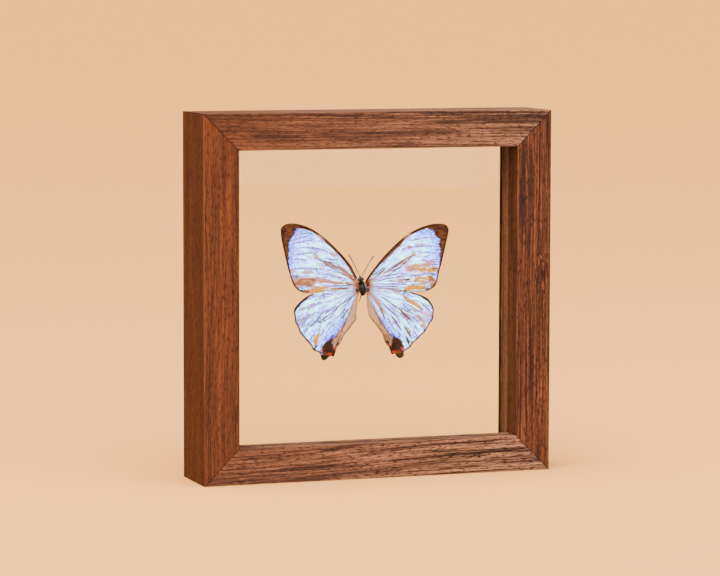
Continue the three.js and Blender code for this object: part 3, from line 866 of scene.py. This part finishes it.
def paint_forewing(scales, marks, corners):
    """Upper face of a forewing: pearl ground, dark veins, ochre streaks, brown costa and apex."""
    out, edge, run = scales.spots[:, 0], scales.edge, scales.run
    apex_run, tornus_run = corners
    paint_ground(scales, marks, "fore")
    paint_root(scales, "fore")
    for stroke in marks["strokes"]:
        scales.stroke(*stroke)
    tornus = scales.fill(TAN, 0.4, 0.85, marks["tornus"])
    blotches = strands(*scales.flow, 0.9, 2.5, BLOTCH_SEED)
    scales.lay(0.9 * tornus * eased_step(0.2, 0.7, blotches), RUST)
    scales.lay(0.9 * tornus * eased_step(-0.3, -0.8, blotches), MAUVE)
    costa = eased_step(apex_run + 0.02, apex_run - 0.02, run)
    band = np.interp(out, COSTA_OUT, marks["costa"])
    scales.lay(costa * eased_step(1.1, 0.85, (edge + 0.5 * scales.fray) / band), RUST)
    scales.lay(0.8 * costa * eased_step(0.75, 0.55, (edge - 0.6 * scales.ragged) / band), BROWN)
    scales.lay(costa * eased_step(1.05, 0.75, edge), DARK_BROWN)
    scales.stroke(FILM, 0.6, 0.95, marks["window"])
    border = scales.fill(BROWN, 0.3, 1.0, marks["apex"])
    scales.lay(0.85 * border * eased_step(-0.2, 0.8, strands(*scales.flow, 1.2, 3, BORDER_SEED)), GOLD)
    for path in marks["gold"]:
        scales.stroke(GOLD, 1.1, 0.9, path)
    scales.lay(0.9 * border * eased_step(0.5, 0.2, scales.vein_gap), DARK_BROWN)
    outer = eased_step(apex_run - 0.06, apex_run, run) * eased_step(tornus_run + 0.03, tornus_run, run)
    scales.lay(outer * eased_step(1.05, 0.65, edge + 0.5 * scales.ragged), DARK_BROWN)
    trailing = eased_step(tornus_run - 0.01, tornus_run + 0.01, run)
    scales.lay(0.7 * trailing * eased_step(0.5, 0.2, edge), RUST)
    paint_eyespot(scales, marks["eyespot"], EYESPOT_RADIUS)


def paint_hindwing(scales, marks, corners):
    """Upper face of a hindwing: pearl ground, bare tan fold, brown tail patch with red spots."""
    up, edge, run = scales.spots[:, 1], scales.edge, scales.run
    shoulder_run, tail_run, fold_run = corners
    paint_ground(scales, marks, "hind")
    for stroke in marks["strokes"]:
        scales.stroke(*stroke)
    fold = inside(scales.spots, marks["fold"]) + scales.fray
    scales.lay(eased_step(-0.3, 0.4, fold), FILM)
    grain = strands(*scales.flow, 0.7, 20, GRAIN_SEED)
    scales.lay(0.75 * eased_step(0.0, 1.4, grain) * eased_step(0, 1, fold), TAN)
    scales.lay(0.85 * eased_step(0.9, 0.2, np.abs(fold - 0.3)) * eased_step(88, 80, up), RUST)
    paint_root(scales, "hind")
    scales.stroke(NAVY, 0.9, 0.95, marks["deep_blue"])
    scales.stroke(RUST, 1.3, 0.95, marks["brown_fold"])
    scales.fill(BROWN, 0.25, 1.0, marks["patch"])
    scales.lay(0.7 * eased_step(0.1, 1.2, inside(scales.spots, marks["patch"])), DARK_BROWN)
    scales.fill(DARK_BROWN, 0.25, 1.0, marks["tail"])
    scales.stroke(GOLD, 0.9, 0.9, marks["ember"])
    scales.stroke(NEAR_BLACK, 1.0, 1.0, marks["lobe"])
    scales.stroke(DARK_BROWN, 0.9, 1.0, marks["inner_dark"])
    for path in marks["reds"]:
        scales.stroke(RED, 0.75, 1.0, path)
    outer = eased_step(shoulder_run - 0.02, shoulder_run, run) * eased_step(tail_run + 0.01, tail_run, run)
    scales.lay(0.7 * outer * eased_step(1.6, 0.6, edge + scales.ragged), VIOLET, 0.8)
    scales.lay(outer * eased_step(0.9, 0.6, edge + 0.4 * scales.ragged), DARK_BROWN)
    for spot in marks["knots"]:
        gap = np.linalg.norm(scales.spots - np.array(spot), axis=1)
        scales.lay(0.95 * eased_step(1.1, 0.7, gap), DARK_BROWN)
    distance = nearest(scales.spots, marks["upper_edge"])[0]
    scales.lay(0.95 * eased_step(0.95, 0.6, distance), NEAR_BLACK)
    inner = eased_step(fold_run - 0.01, fold_run + 0.01, run) * eased_step(79, 74, up)
    scales.lay(0.9 * inner * eased_step(0.75, 0.4, edge), BROWN)


def fold_clearness(spots, marks):
    """How bare the fold beside the body is: 1 on the film, 0 on the scales, the patch and the tail."""
    pigment = np.maximum(inside(spots, marks["tail"]), inside(spots, marks["patch"]))
    return eased_step(-0.2, 0.8, inside(spots, marks["fold"])) * eased_step(0.5, -0.5, pigment)


def paint_underside(scales, eyes):
    """Lower face of a wing: silvery tan ground with brown veins and margin and a row of eyes."""
    edge = scales.edge
    scales.lay(np.full(len(edge), 0.75), SILVER, 0.4)
    scales.lay(0.5 * eased_step(0.1, 1.2, mottle(scales.spots, 5, MOTTLE_SEED)), FAWN, 0.2)
    scales.lay(0.7 * eased_step(0.36, 0.14, scales.vein_gap), BROWN)
    scales.lay(0.8 * eased_step(1.6, 0.5, edge + scales.ragged), RUST)
    scales.lay(0.8 * eased_step(0.7, 0.3, edge), DARK_BROWN)
    for centre, radius in eyes:
        gap = np.linalg.norm(scales.spots - np.array(centre), axis=1)
        scales.lay(0.8 * eased_step(1.9 * radius, 1.4 * radius, gap), OCHRE)
        paint_eyespot(scales, centre, radius)


def wing_fan(name):
    """Margin of a wing and points in its own plane: each lies a share of the way from a hub by the
    root to the margin, crowded towards the margin."""
    margin = smooth_margin(WING_OUTLINES[name], MARGIN_STEPS)
    hub = np.array(WING_HUBS[name])
    share = 1 - (1 - HUB_SHARE) * np.linspace(1, 0, RADIAL_STEPS) ** MARGIN_CROWDING
    return margin, hub + (margin - hub)[:, None, :] * share[None, :, None]


def bare_scales(name, spots, margin, seed):
    """Scales over these spots of a wing, not yet painted."""
    hind = name.endswith("hindwing")
    turn = LEFT_TURN if name.startswith("left") else 0.0
    gap = gap_to_veins(spots, HINDWING_VEINS if hind else FOREWING_VEINS, turn)
    return Scales(spots, wing_flow(spots, hind), gap, margin, seed + 2 * hind)


def paint_upper(scales, name, margin):
    """Upper face of a wing, with the shares of its margin at which its corners lie."""
    hind = name.endswith("hindwing")
    marks = HINDWING_MARKS[name] if hind else FOREWING_MARKS[name]
    corners = [np.linalg.norm(margin - spot, axis=1).argmin() / MARGIN_STEPS for spot in marks["corners"]]
    paint = paint_hindwing if hind else paint_forewing
    paint(scales, marks, corners)


def wing_finish():
    """Scales: the painted colour, shaded in rows and flecks that follow the flow. Pearly spots shine,
    pigment is matt, and the bare film lets some light through."""
    material, shader, start = new_finish("wing_scales")
    painted = read(start, "scales", 0)
    pearl = read(start, "pearl", 2)
    flow = read(start, "flow", 1)
    comb = flow.noise((1.2, 0.2, 1.0), 3.0, 0.6)
    ripple = flow.noise((0.55, 0.3, 1.0), 3.0, 0.6)
    grain = flow.noise((1.5, 0.9, 1.0), 2.0, 0.5)
    colour = painted.blend(painted.times(SHADED), pearl * ripple.between(0.5, 0.6) * 0.5)
    colour = colour.blend(colour.times(SHADED), pearl * comb.between(0.54, 0.62) * 0.8)
    colour = colour.blend(PEARL, pearl * grain.between(0.54, 0.62) * 0.5)
    colour = colour.blend(colour.times(SHADED), grain.between(0.44, 0.36) * 0.8)
    colour = colour.blend(NEAR_BLACK, (1 - pearl) * comb.between(0.5, 0.72) * 0.35)
    height = comb * 0.5 + grain * 0.3 + read(start, "ridge", 2) * 1.0
    feed(shader["Base Color"], colour)
    feed(shader["Roughness"], 0.62 - 0.2 * pearl)
    feed(shader["Metallic"], 0.7 * pearl)
    feed(shader["Coat Weight"], 0.25 * pearl)
    feed(shader["Alpha"], read(start, "opaque", 2))
    bump = {"Strength": 0.4, "Distance": 0.00008, "Height": height}
    feed(shader["Normal"], start.node("ShaderNodeBump", {}, bump))
    shader["Coat Roughness"].default_value = 0.3
    shader["Specular IOR Level"].default_value = 0.04
    return material


def wing_side(name):
    """1 for a right wing, -1 for a left one."""
    return -1 if name.startswith("left") else 1


def wing_face(name, margin, spots, lower):
    """One painted face of a wing: it comes forward with its distance out, arches a little, and lies
    half the membrane's thickness behind or before its middle, less towards the margin."""
    hind = name.endswith("hindwing")
    scales = bare_scales(name, spots, margin, LOWER_SEED if lower else UPPER_SEED)
    if lower:
        paint_underside(scales, UNDERSIDE_EYES[hind])
    else:
        paint_upper(scales, name, margin)
    out, up = spots.T * MM
    depth = WING_ROOT_DEPTH + HINDWING_DROP * hind - WING_THICKNESS - WING_RISE * out
    depth -= WING_CAMBER * np.sin(np.pi * np.clip(out / WING_REACH, 0, 1))
    if hind:
        marks = HINDWING_MARKS[name]
        depth += FOLD_BEND * eased_step(0, FOLD_EASE, inside(spots, marks["fold"]))
        scales.opaque -= FOLD_CLEAR * fold_clearness(spots, marks)
    half = 0.5 * WING_THICKNESS * (0.35 + 0.65 * eased_step(0, 0.8, scales.edge))
    depth += half if lower else -half
    return np.stack([wing_side(name) * out, FRONT_Y + depth, up], axis=1), scales


def wing_piece(name, material):
    """A wing is a fan of points with a fine upper face, a coarser lower face, and a rim that joins
    the two."""
    margin, flat = wing_fan(name)
    coarse = flat[::UNDERSIDE_STRIDE, ::UNDERSIDE_STRIDE]
    upper_points, upper = wing_face(name, margin, flat.reshape(-1, 2), False)
    lower_points, lower = wing_face(name, margin, coarse.reshape(-1, 2), True)

    count = MARGIN_STEPS * RADIAL_STEPS
    index = np.arange(count).reshape(MARGIN_STEPS, RADIAL_STEPS)
    rows, columns = coarse.shape[:2]
    under = count + np.arange(rows * columns).reshape(rows, columns)
    rim, under_rim = index[:, -1], under[:, -1]
    ahead = np.roll(rim, -2)[::2]
    band = np.stack([rim[::2], under_rim, np.roll(under_rim, -1), ahead, rim[1::2]], axis=1)
    shell = grid_faces(MARGIN_STEPS, RADIAL_STEPS, wrap_rows=True).tolist() + band.tolist()
    shell += (grid_faces(rows, columns, wrap_rows=True)[:, ::-1] + count).tolist()
    shell += [index[::-1, 0].tolist(), under[:, 0].tolist()]
    if wing_side(name) < 0:
        shell = [corners[::-1] for corners in shell]
    wing = put_mesh("scaled_" + name, np.vstack([upper_points, lower_points]), shell, material)
    colours = np.vstack([upper.colour, lower.colour])
    flows = np.hstack([upper.flow, lower.flow])
    ridges = eased_step(0.35, 0.05, np.concatenate([upper.vein_gap, lower.vein_gap]))
    put_attribute(wing, "scales", "FLOAT_COLOR", np.hstack([colours, np.ones((len(colours), 1))]))
    put_attribute(wing, "pearl", "FLOAT", np.concatenate([upper.pearl, lower.pearl]))
    put_attribute(wing, "opaque", "FLOAT", np.concatenate([upper.opaque, lower.opaque]))
    put_attribute(wing, "ridge", "FLOAT", ridges)
    put_attribute(wing, "flow", "FLOAT_VECTOR", np.vstack([flows, np.zeros((1, len(ridges)))]).T)
    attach(wing, "root")
    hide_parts(name)
    return wing


scales_finish = wing_finish()
for wing_name in WING_OUTLINES:
    wing_piece(wing_name, scales_finish)

# Body: a black furry thorax with brown hair on its flanks, the head, eyes and palps at its top, the
# stump of the abdomen and one dry hind leg below. It grew as one piece, and lies with its back to the
# front pane.
BODY_CENTRE = np.array([0.1, 9.6, 90.2]) * MM
BODY_LEAN = np.radians(-12)
BODY_LUMPS = np.array([
    (0, 0, 0, 2, 2.3, 3.3),
    (-0.25, 0.2, -2.5, 1.35, 1.5, 1.3),
    (0.1, -0.1, 2.6, 1.65, 1.7, 1.7),
    (0, -0.3, 4.6, 1.25, 1.2, 1.15),
    (-1, -0.4, 4.7, 0.7, 0.8, 0.8),
    (1, -0.4, 4.7, 0.7, 0.8, 0.8),
    (-0.35, -0.3, 5.8, 0.36, 0.4, 0.65),
    (0.35, -0.3, 5.8, 0.36, 0.4, 0.65)]) * MM
EYE_LUMPS = (4, 5)
SKIN_SHARE = 0.94
ROOT_SHARE = 0.97 * SKIN_SHARE
SKIN_SHADE = 0.15
HAIRS_PER_LUMP = (5600, 1000, 2000, 1200, 0, 0, 200, 200)
FRINGE_HAIRS = 320
HAIR_SEED = 7
HAIR_RADIUS = 0.045 * MM
SPIKE_POINTS = 4
LEG_PATH = np.array([(-0.9, 0.3, -2.6), (-1.5, 0.6, -3.9), (-2.1, 0.5, -5), (-2.75, 0.5, -6.1)]) * MM
LEG_RADIUS = 0.32 * MM
LEG_STATIONS = 16
TUBE_SIDES = 8


def lean(points):
    """Turns points drawn about the thorax's middle by the body's lean, and puts them in place."""
    x, y, z = np.moveaxis(points, -1, 0)
    leant_x = x * np.cos(BODY_LEAN) + z * np.sin(BODY_LEAN)
    leant_z = z * np.cos(BODY_LEAN) - x * np.sin(BODY_LEAN)
    return np.stack([leant_x, y, leant_z], axis=-1) + BODY_CENTRE


def closed_tube_faces(rings, around):
    """Quads round a tube of rings, and triangles that close it to a first and a last pole."""
    ring = np.arange(rings - 1)[:, None]
    step = np.arange(around)[None, :]
    after = (step + 1) % around
    quads = np.stack([
        ring * around + step, ring * around + after,
        (ring + 1) * around + after, (ring + 1) * around + step], axis=-1).reshape(-1, 4)
    first, last = rings * around, rings * around + 1
    step, after = step.ravel(), after.ravel()
    top = (rings - 1) * around
    bottom_fan = np.stack([np.full(around, first), after, step], axis=1)
    top_fan = np.stack([np.full(around, last), top + step, top + after], axis=1)
    return quads.tolist() + bottom_fan.tolist() + top_fan.tolist()


def ball_grid(lump, share, rings=18, around=26):
    """An ellipsoid: latitude by longitude about its middle, its half sizes scaled by a share."""
    latitude = np.linspace(-np.pi / 2, np.pi / 2, rings)[1:-1, None]
    longitude = np.linspace(0, 2 * np.pi, around, endpoint=False)[None, :]
    unit = np.stack([
        np.cos(latitude) * np.cos(longitude), np.cos(latitude) * np.sin(longitude),
        np.sin(latitude) + 0 * longitude], axis=-1).reshape(-1, 3)
    poles = np.array([(0, 0, -1.0), (0, 0, 1.0)])
    points = lump[:3] + share * lump[3:] * np.vstack([unit, poles])
    return points, closed_tube_faces(rings - 2, around)


def tube_grid(path, radii, around=TUBE_SIDES):
    """A round section carried along a path, with a radius at each station and closed ends."""
    heading = np.gradient(path, axis=0)
    heading /= np.linalg.norm(heading, axis=1, keepdims=True)
    across = np.cross(heading, np.array([0, 1.0, 0]))
    across /= np.linalg.norm(across, axis=1, keepdims=True)
    beside = np.cross(heading, across)
    angle = np.linspace(0, 2 * np.pi, around, endpoint=False)[None, :, None]
    ring = np.cos(angle) * across[:, None] + np.sin(angle) * beside[:, None]
    points = path[:, None] + radii[:, None, None] * ring
    ends = np.vstack([path[0] - radii[0] * heading[0], path[-1] + radii[-1] * heading[-1]])
    return np.vstack([points.reshape(-1, 3), ends]), closed_tube_faces(len(path), around)


def spikes(root, tip, draw):
    """Hairs as slim spikes of three sides, each from a ring at its root to a point at its tip."""
    count = len(root)
    along = tip - root
    across = np.cross(along, draw.normal(size=(count, 3)))
    across /= np.linalg.norm(across, axis=1, keepdims=True)
    beside = np.cross(along, across)
    beside /= np.linalg.norm(beside, axis=1, keepdims=True)
    angle = np.linspace(0, 2 * np.pi, 3, endpoint=False)[None, :, None]
    ring = np.cos(angle) * across[:, None] + np.sin(angle) * beside[:, None]
    points = np.concatenate([root[:, None] + HAIR_RADIUS * ring, tip[:, None]], axis=1)
    base = SPIKE_POINTS * np.arange(count)[:, None, None]
    sides = np.array([(0, 1, 3), (1, 2, 3), (2, 0, 3), (0, 2, 1)])
    return points.reshape(-1, 3), (base + sides).reshape(-1, 3).tolist()


def hair_grid(lump, count, draw):
    """Hairs on a lump: their roots lie on the skin, and their tips, combed towards the tail, reach at
    most to the lump's full size."""
    unit = draw.normal(size=(count, 3))
    unit /= np.linalg.norm(unit, axis=1, keepdims=True)
    stray_x = 0.25 * draw.normal(size=count)
    stray_y = 0.25 * draw.normal(size=count)
    combed = unit + np.stack([stray_x, stray_y, -draw.uniform(0.2, 0.8, count)], axis=1)
    combed /= np.linalg.norm(combed, axis=1, keepdims=True)
    root = lump[:3] + ROOT_SHARE * lump[3:] * unit
    tip = lump[:3] + draw.uniform(0.95, 1.0, (count, 1)) * lump[3:] * combed
    return spikes(root, tip, draw)


def fringe_grid(side, count, draw):
    """Brown hairs on one flank of the thorax: their roots lie on the skin ahead of the wings, and
    their tips spread out in front of the wing roots."""
    half_size = ROOT_SHARE * BODY_LUMPS[0, 3:]
    rise = draw.uniform(-0.7, 0.75, count)
    turn = np.radians(draw.uniform(36, 50, count))
    ring = np.sqrt(1 - rise ** 2)
    root = half_size * np.stack([side * ring * np.cos(turn), -ring * np.sin(turn), rise], axis=1)
    outward = side * draw.uniform(0.4, 1.3, count)
    forward = -draw.uniform(0.1, 0.3, count)
    reach = np.stack([outward, forward, draw.uniform(-0.7, 0.5, count)], axis=1)
    return spikes(root, root + reach * MM, draw)


def body_finish():
    """Black skin and eyes, hair from black to a painted grey-blue sheen in patches, and brown flank hair."""
    material, shader, start = new_finish("black_fur")
    shade = read(start, "shade", 2)
    place = start.node("ShaderNodeTexCoord", {}, {}, 3)
    patchy = place.noise((700.0, 700.0, 700.0), 2.0)
    # The grey-blue stops are painted sheen: glints of light on the glossy black fur, laid into the hair's
    # colour.
    stops = [
        (0.0, tint(1, 1, 2)), (0.5, tint(4, 4, 5)), (0.75, tint(18, 20, 24)), (0.88, tint(84, 92, 104)),
        (0.92, tint(14, 8, 5)), (1.0, tint(38, 22, 12))]
    shaded = shade * patchy.between(0.2, 0.5)
    colour = start.node("ShaderNodeValToRGB", {"stops": stops}, {0: shaded})
    feed(shader["Base Color"], colour)
    feed(shader["Roughness"], 0.3 + 0.3 * patchy)
    shader["Specular IOR Level"].default_value = 0.1
    return material


def join_grids(grids):
    """Several grids as one: their points end to end, each grid's faces counted on from the last."""
    points = np.vstack([grid[0] for grid in grids])
    starts = np.cumsum([0] + [len(grid[0]) for grid in grids[:-1]])
    faces = [[corner + start for corner in face] for grid, start in zip(grids, starts) for face in grid[1]]
    return points, faces


draw = np.random.default_rng(HAIR_SEED)
skin = [ball_grid(lump, 1.0 if k in EYE_LUMPS else SKIN_SHARE) for k, lump in enumerate(BODY_LUMPS)]
fur = [hair_grid(lump, count, draw) for lump, count in zip(BODY_LUMPS, HAIRS_PER_LUMP) if count]
fringe = [fringe_grid(side, FRINGE_HAIRS, draw) for side in (-1, 1)]
leg_run = np.linspace(0, 1, LEG_STATIONS)
leg_knots = np.linspace(0, 1, len(LEG_PATH))
leg_line = np.stack([np.interp(leg_run, leg_knots, LEG_PATH[:, axis]) for axis in range(3)], axis=1)
leg = tube_grid(leg_line, LEG_RADIUS * (1.1 - 0.5 * leg_run))
body_points, body_faces = join_grids(skin + [leg] + fur + fringe)
body = put_mesh("furry_body", lean(body_points), body_faces, body_finish())
skin_count = sum(len(grid[0]) for grid in skin) + len(leg[0])
hair_count = (len(body_points) - skin_count) // SPIKE_POINTS
# Each hair's place on the ramp, from black up to the painted grey-blue sheen; the fringe takes the brown
# end.
hair_tone_and_sheen = draw.uniform(0.2, 0.88, hair_count)
hair_tone_and_sheen[-2 * FRINGE_HAIRS:] = draw.uniform(0.9, 1.0, 2 * FRINGE_HAIRS)
skin_shade = np.full(skin_count, SKIN_SHADE)
put_attribute(body, "shade", "FLOAT", np.concatenate([skin_shade, np.repeat(hair_tone_and_sheen, SPIKE_POINTS)]))
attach(body, "root")
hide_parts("body")

# Antennae: two dry, dark brown feelers, ringed along their length, that run nearly straight from the
# brow to a small club at the tip. They grow from the head and are held by nothing else.
ANTENNAE = {
    "left_antenna": ((-1.8, 8.6, 96.8), (-7.8, 6.8, 107), 0.2),
    "right_antenna": ((-0.4, 8.6, 96.7), (5, 6.8, 106.5), -0.15)}
ANTENNA_RADIUS = 0.25 * MM
CLUB_RADIUS = 0.36 * MM
ANTENNA_RINGS = 30
STATIONS_PER_RING = 6


def antenna_finish():
    """Dark brown feeler, paler between its rings."""
    material, shader, start = new_finish("feeler")
    ringed = read(start, "ringed", 2)
    place = start.node("ShaderNodeTexCoord", {}, {}, 3)
    stops = [(0.0, tint(30, 18, 12)), (1.0, tint(10, 6, 4))]
    colour = start.node("ShaderNodeValToRGB", {"stops": stops}, {0: ringed})
    colour = colour.blend(tint(24, 16, 12), place.noise((900.0, 900.0, 900.0)).between(0.45, 0.7) * 0.5)
    feed(shader["Base Color"], colour)
    feed(shader["Roughness"], 0.5 + 0.2 * ringed)
    return material


feeler = antenna_finish()
for node, (start_at, end_at, bow) in ANTENNAE.items():
    reach = np.linspace(0, 1, STATIONS_PER_RING * ANTENNA_RINGS)
    line = (np.array(start_at) + reach[:, None] * (np.array(end_at) - np.array(start_at))) * MM
    line[:, 0] += bow * MM * np.sin(np.pi * reach)
    ringed = 0.5 + 0.5 * np.sin(2 * np.pi * ANTENNA_RINGS * reach)
    club = eased_step(0.72, 0.92, reach) * eased_step(1.02, 0.95, reach)
    thickness = (ANTENNA_RADIUS + (CLUB_RADIUS - ANTENNA_RADIUS) * club) * (0.9 + 0.1 * ringed)
    grid_points, grid_quads = tube_grid(line, thickness)
    antenna = put_mesh("ringed_" + node, grid_points, grid_quads, feeler)
    put_attribute(antenna, "ringed", "FLOAT", np.concatenate([np.repeat(ringed, TUBE_SIDES), [0.5, 0.5]]))
    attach(antenna, "root")
    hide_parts(node)

# Glue pad: a dab of clear glue that has crept out round the thorax and set on the back pane. It is
# a round stack of rings, each with its depth and radius, whose edge wobbles a little.
PAD_STATIONS = np.array([
    (0.0, 1.38), (0.12, 1.5), (0.3, 1.36), (0.55, 1.42), (0.7, 1.6), (0.8, 1.68)]) * MM
PAD_SIDES = 40
PAD_WOBBLE = (0.04, 0.03)


def glue_finish():
    """Clear set glue, faintly yellow, with a skin that is not quite smooth."""
    material, shader, start = new_finish("clear_glue")
    shader["Base Color"].default_value = (*tint(244, 236, 214), 1)
    shader["Roughness"].default_value = 0.08
    shader["IOR"].default_value = 1.46
    shader["Transmission Weight"].default_value = 1.0
    place = start.node("ShaderNodeTexCoord", {}, {}, 3)
    wrinkle = {"Strength": 0.3, "Distance": 0.0001, "Height": place.noise((1500.0, 1500.0, 1500.0))}
    feed(shader["Normal"], start.node("ShaderNodeBump", {}, wrinkle))
    return material


pad_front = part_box("glue_pad")[0].y
pad_path = np.zeros((len(PAD_STATIONS), 3)) + np.array([BODY_CENTRE[0], pad_front, BODY_CENTRE[2]])
pad_path[:, 1] += PAD_STATIONS[:, 0]
angle = np.linspace(0, 2 * np.pi, PAD_SIDES, endpoint=False)[None, :]
wobble = 1 + PAD_WOBBLE[0] * np.sin(3 * angle) + PAD_WOBBLE[1] * np.sin(5 * angle + 1)
pad_radius = PAD_STATIONS[:, 1:] * wobble / (1 + sum(PAD_WOBBLE))
pad_ring = np.stack([np.cos(angle) * pad_radius, 0 * pad_radius, np.sin(angle) * pad_radius], axis=-1)
pad_points = np.vstack([(pad_path[:, None] + pad_ring).reshape(-1, 3), pad_path[[0, -1]]])
pad_faces = [face[::-1] for face in closed_tube_faces(len(PAD_STATIONS), PAD_SIDES)]
pad = put_mesh("set_glue", pad_points, pad_faces, glue_finish())
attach(pad, "root")
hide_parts("glue_pad")

# Retainers: slim walnut beads that hold the back pane in, set just inside the frame's rear edge. They
# are mitred at the corners and pressed into the rebate behind the glass.
add_strips("retainer", (7400, 980, 330), (0.1, 0.1), walnut)

# Floor, light and camera: a plain pale surface, soft light from two large panels and a broad lamp
# overhead, and a distant view of the frame from its left and slightly above.
FLOOR_HALF = 40.0
FLOOR_COLOUR = tint(125, 85, 42)
CAMERA_AT = np.array([-529.01, -1486.28, 241.73]) * MM
CAMERA_YAW, CAMERA_PITCH, CAMERA_ROLL = 0.3394, -0.0951, 0.0021
CAMERA_LENS = 162.15
CAMERA_REACH = 200
SENSOR_WIDTH = 36.0
STUDIO_COLOUR = (1.0, 0.94, 0.88, 1)
STUDIO_STRENGTH = 1.4
WARM_LIGHT = (1.0, 0.95, 0.9)
COOL_LIGHT = (0.93, 0.97, 1.12)
FRAME_MIDDLE = (0, 0, SIDE / 2)


def floor_finish():
    """Plain pale surface with the faintest unevenness."""
    material, shader, start = new_finish("pale_floor")
    place = start.node("ShaderNodeTexCoord", {}, {}, 3)
    shader["Base Color"].default_value = (*FLOOR_COLOUR, 1)
    feed(shader["Roughness"], 0.55 + 0.1 * place.noise((8.0, 8.0, 8.0)))
    shader["Specular IOR Level"].default_value = 0.0
    return material


square = np.array([(-1, -1, 0), (1, -1, 0), (1, 1, 0), (-1, 1, 0)]) * FLOOR_HALF
floor = put_mesh("floor", square, [[0, 1, 2, 3]], floor_finish())

world = bpy.data.worlds.new("studio")
bpy.context.scene.world = world
world.use_nodes = True
background = world.node_tree.nodes["Background"].inputs
background["Color"].default_value = STUDIO_COLOUR
background["Strength"].default_value = STUDIO_STRENGTH


def soft_panel(name, place, aim, size, power, colour):
    """A light panel of a width and a height at a place, facing the point it is aimed at."""
    light = bpy.data.lights.new(name, "AREA")
    light.shape = "RECTANGLE"
    light.size, light.size_y = size
    light.energy = power
    light.color = colour
    panel = bpy.data.objects.new(name, light)
    back = np.array(place) - np.array(aim)
    back /= np.linalg.norm(back)
    right = np.cross((0, 0, 1), back)
    right /= np.linalg.norm(right)
    up = np.cross(back, right)
    turn = Matrix(np.stack([right, up, back], axis=1).tolist()).to_4x4()
    panel.matrix_world = Matrix.Translation(place) @ turn
    bpy.context.scene.collection.objects.link(panel)


def overhead_light(name, heading, spread, strength, colour):
    """A broad overhead light so far away that it falls on the whole floor alike."""
    light = bpy.data.lights.new(name, "SUN")
    light.angle = spread
    light.energy = strength
    light.color = colour
    lamp = bpy.data.objects.new(name, light)
    lamp.rotation_euler = Vector(heading).to_track_quat("-Z", "Y").to_euler()
    bpy.context.scene.collection.objects.link(lamp)


soft_panel("left_panel", (-1.6, -1.9, 1.1), FRAME_MIDDLE, (2.2, 2.2), 280, WARM_LIGHT)
soft_panel("low_panel", (0.55, -1.15, 0.62), FRAME_MIDDLE, (2.2, 1.25), 162, COOL_LIGHT)
overhead_light("overhead", (0.2, 0.12, -1.0), np.radians(60), 32.0, WARM_LIGHT)

camera_data = bpy.data.cameras.new("photo_view")
camera_data.sensor_fit = "HORIZONTAL"
camera_data.sensor_width = SENSOR_WIDTH
camera_data.lens = CAMERA_LENS
camera_data.clip_end = CAMERA_REACH
level_forward = np.array([np.sin(CAMERA_YAW), np.cos(CAMERA_YAW), 0])
forward = np.cos(CAMERA_PITCH) * level_forward + np.array([0, 0, np.sin(CAMERA_PITCH)])
level_right = np.array([np.cos(CAMERA_YAW), -np.sin(CAMERA_YAW), 0])
level_up = np.cross(level_right, forward)
right = np.cos(CAMERA_ROLL) * level_right + np.sin(CAMERA_ROLL) * level_up
up = np.cos(CAMERA_ROLL) * level_up - np.sin(CAMERA_ROLL) * level_right
camera = bpy.data.objects.new("photo_view", camera_data)
turn = Matrix(np.stack([right, up, -forward], axis=1).tolist()).to_4x4()
camera.matrix_world = Matrix.Translation(CAMERA_AT.tolist()) @ turn
bpy.context.scene.collection.objects.link(camera)
bpy.context.scene.camera = camera
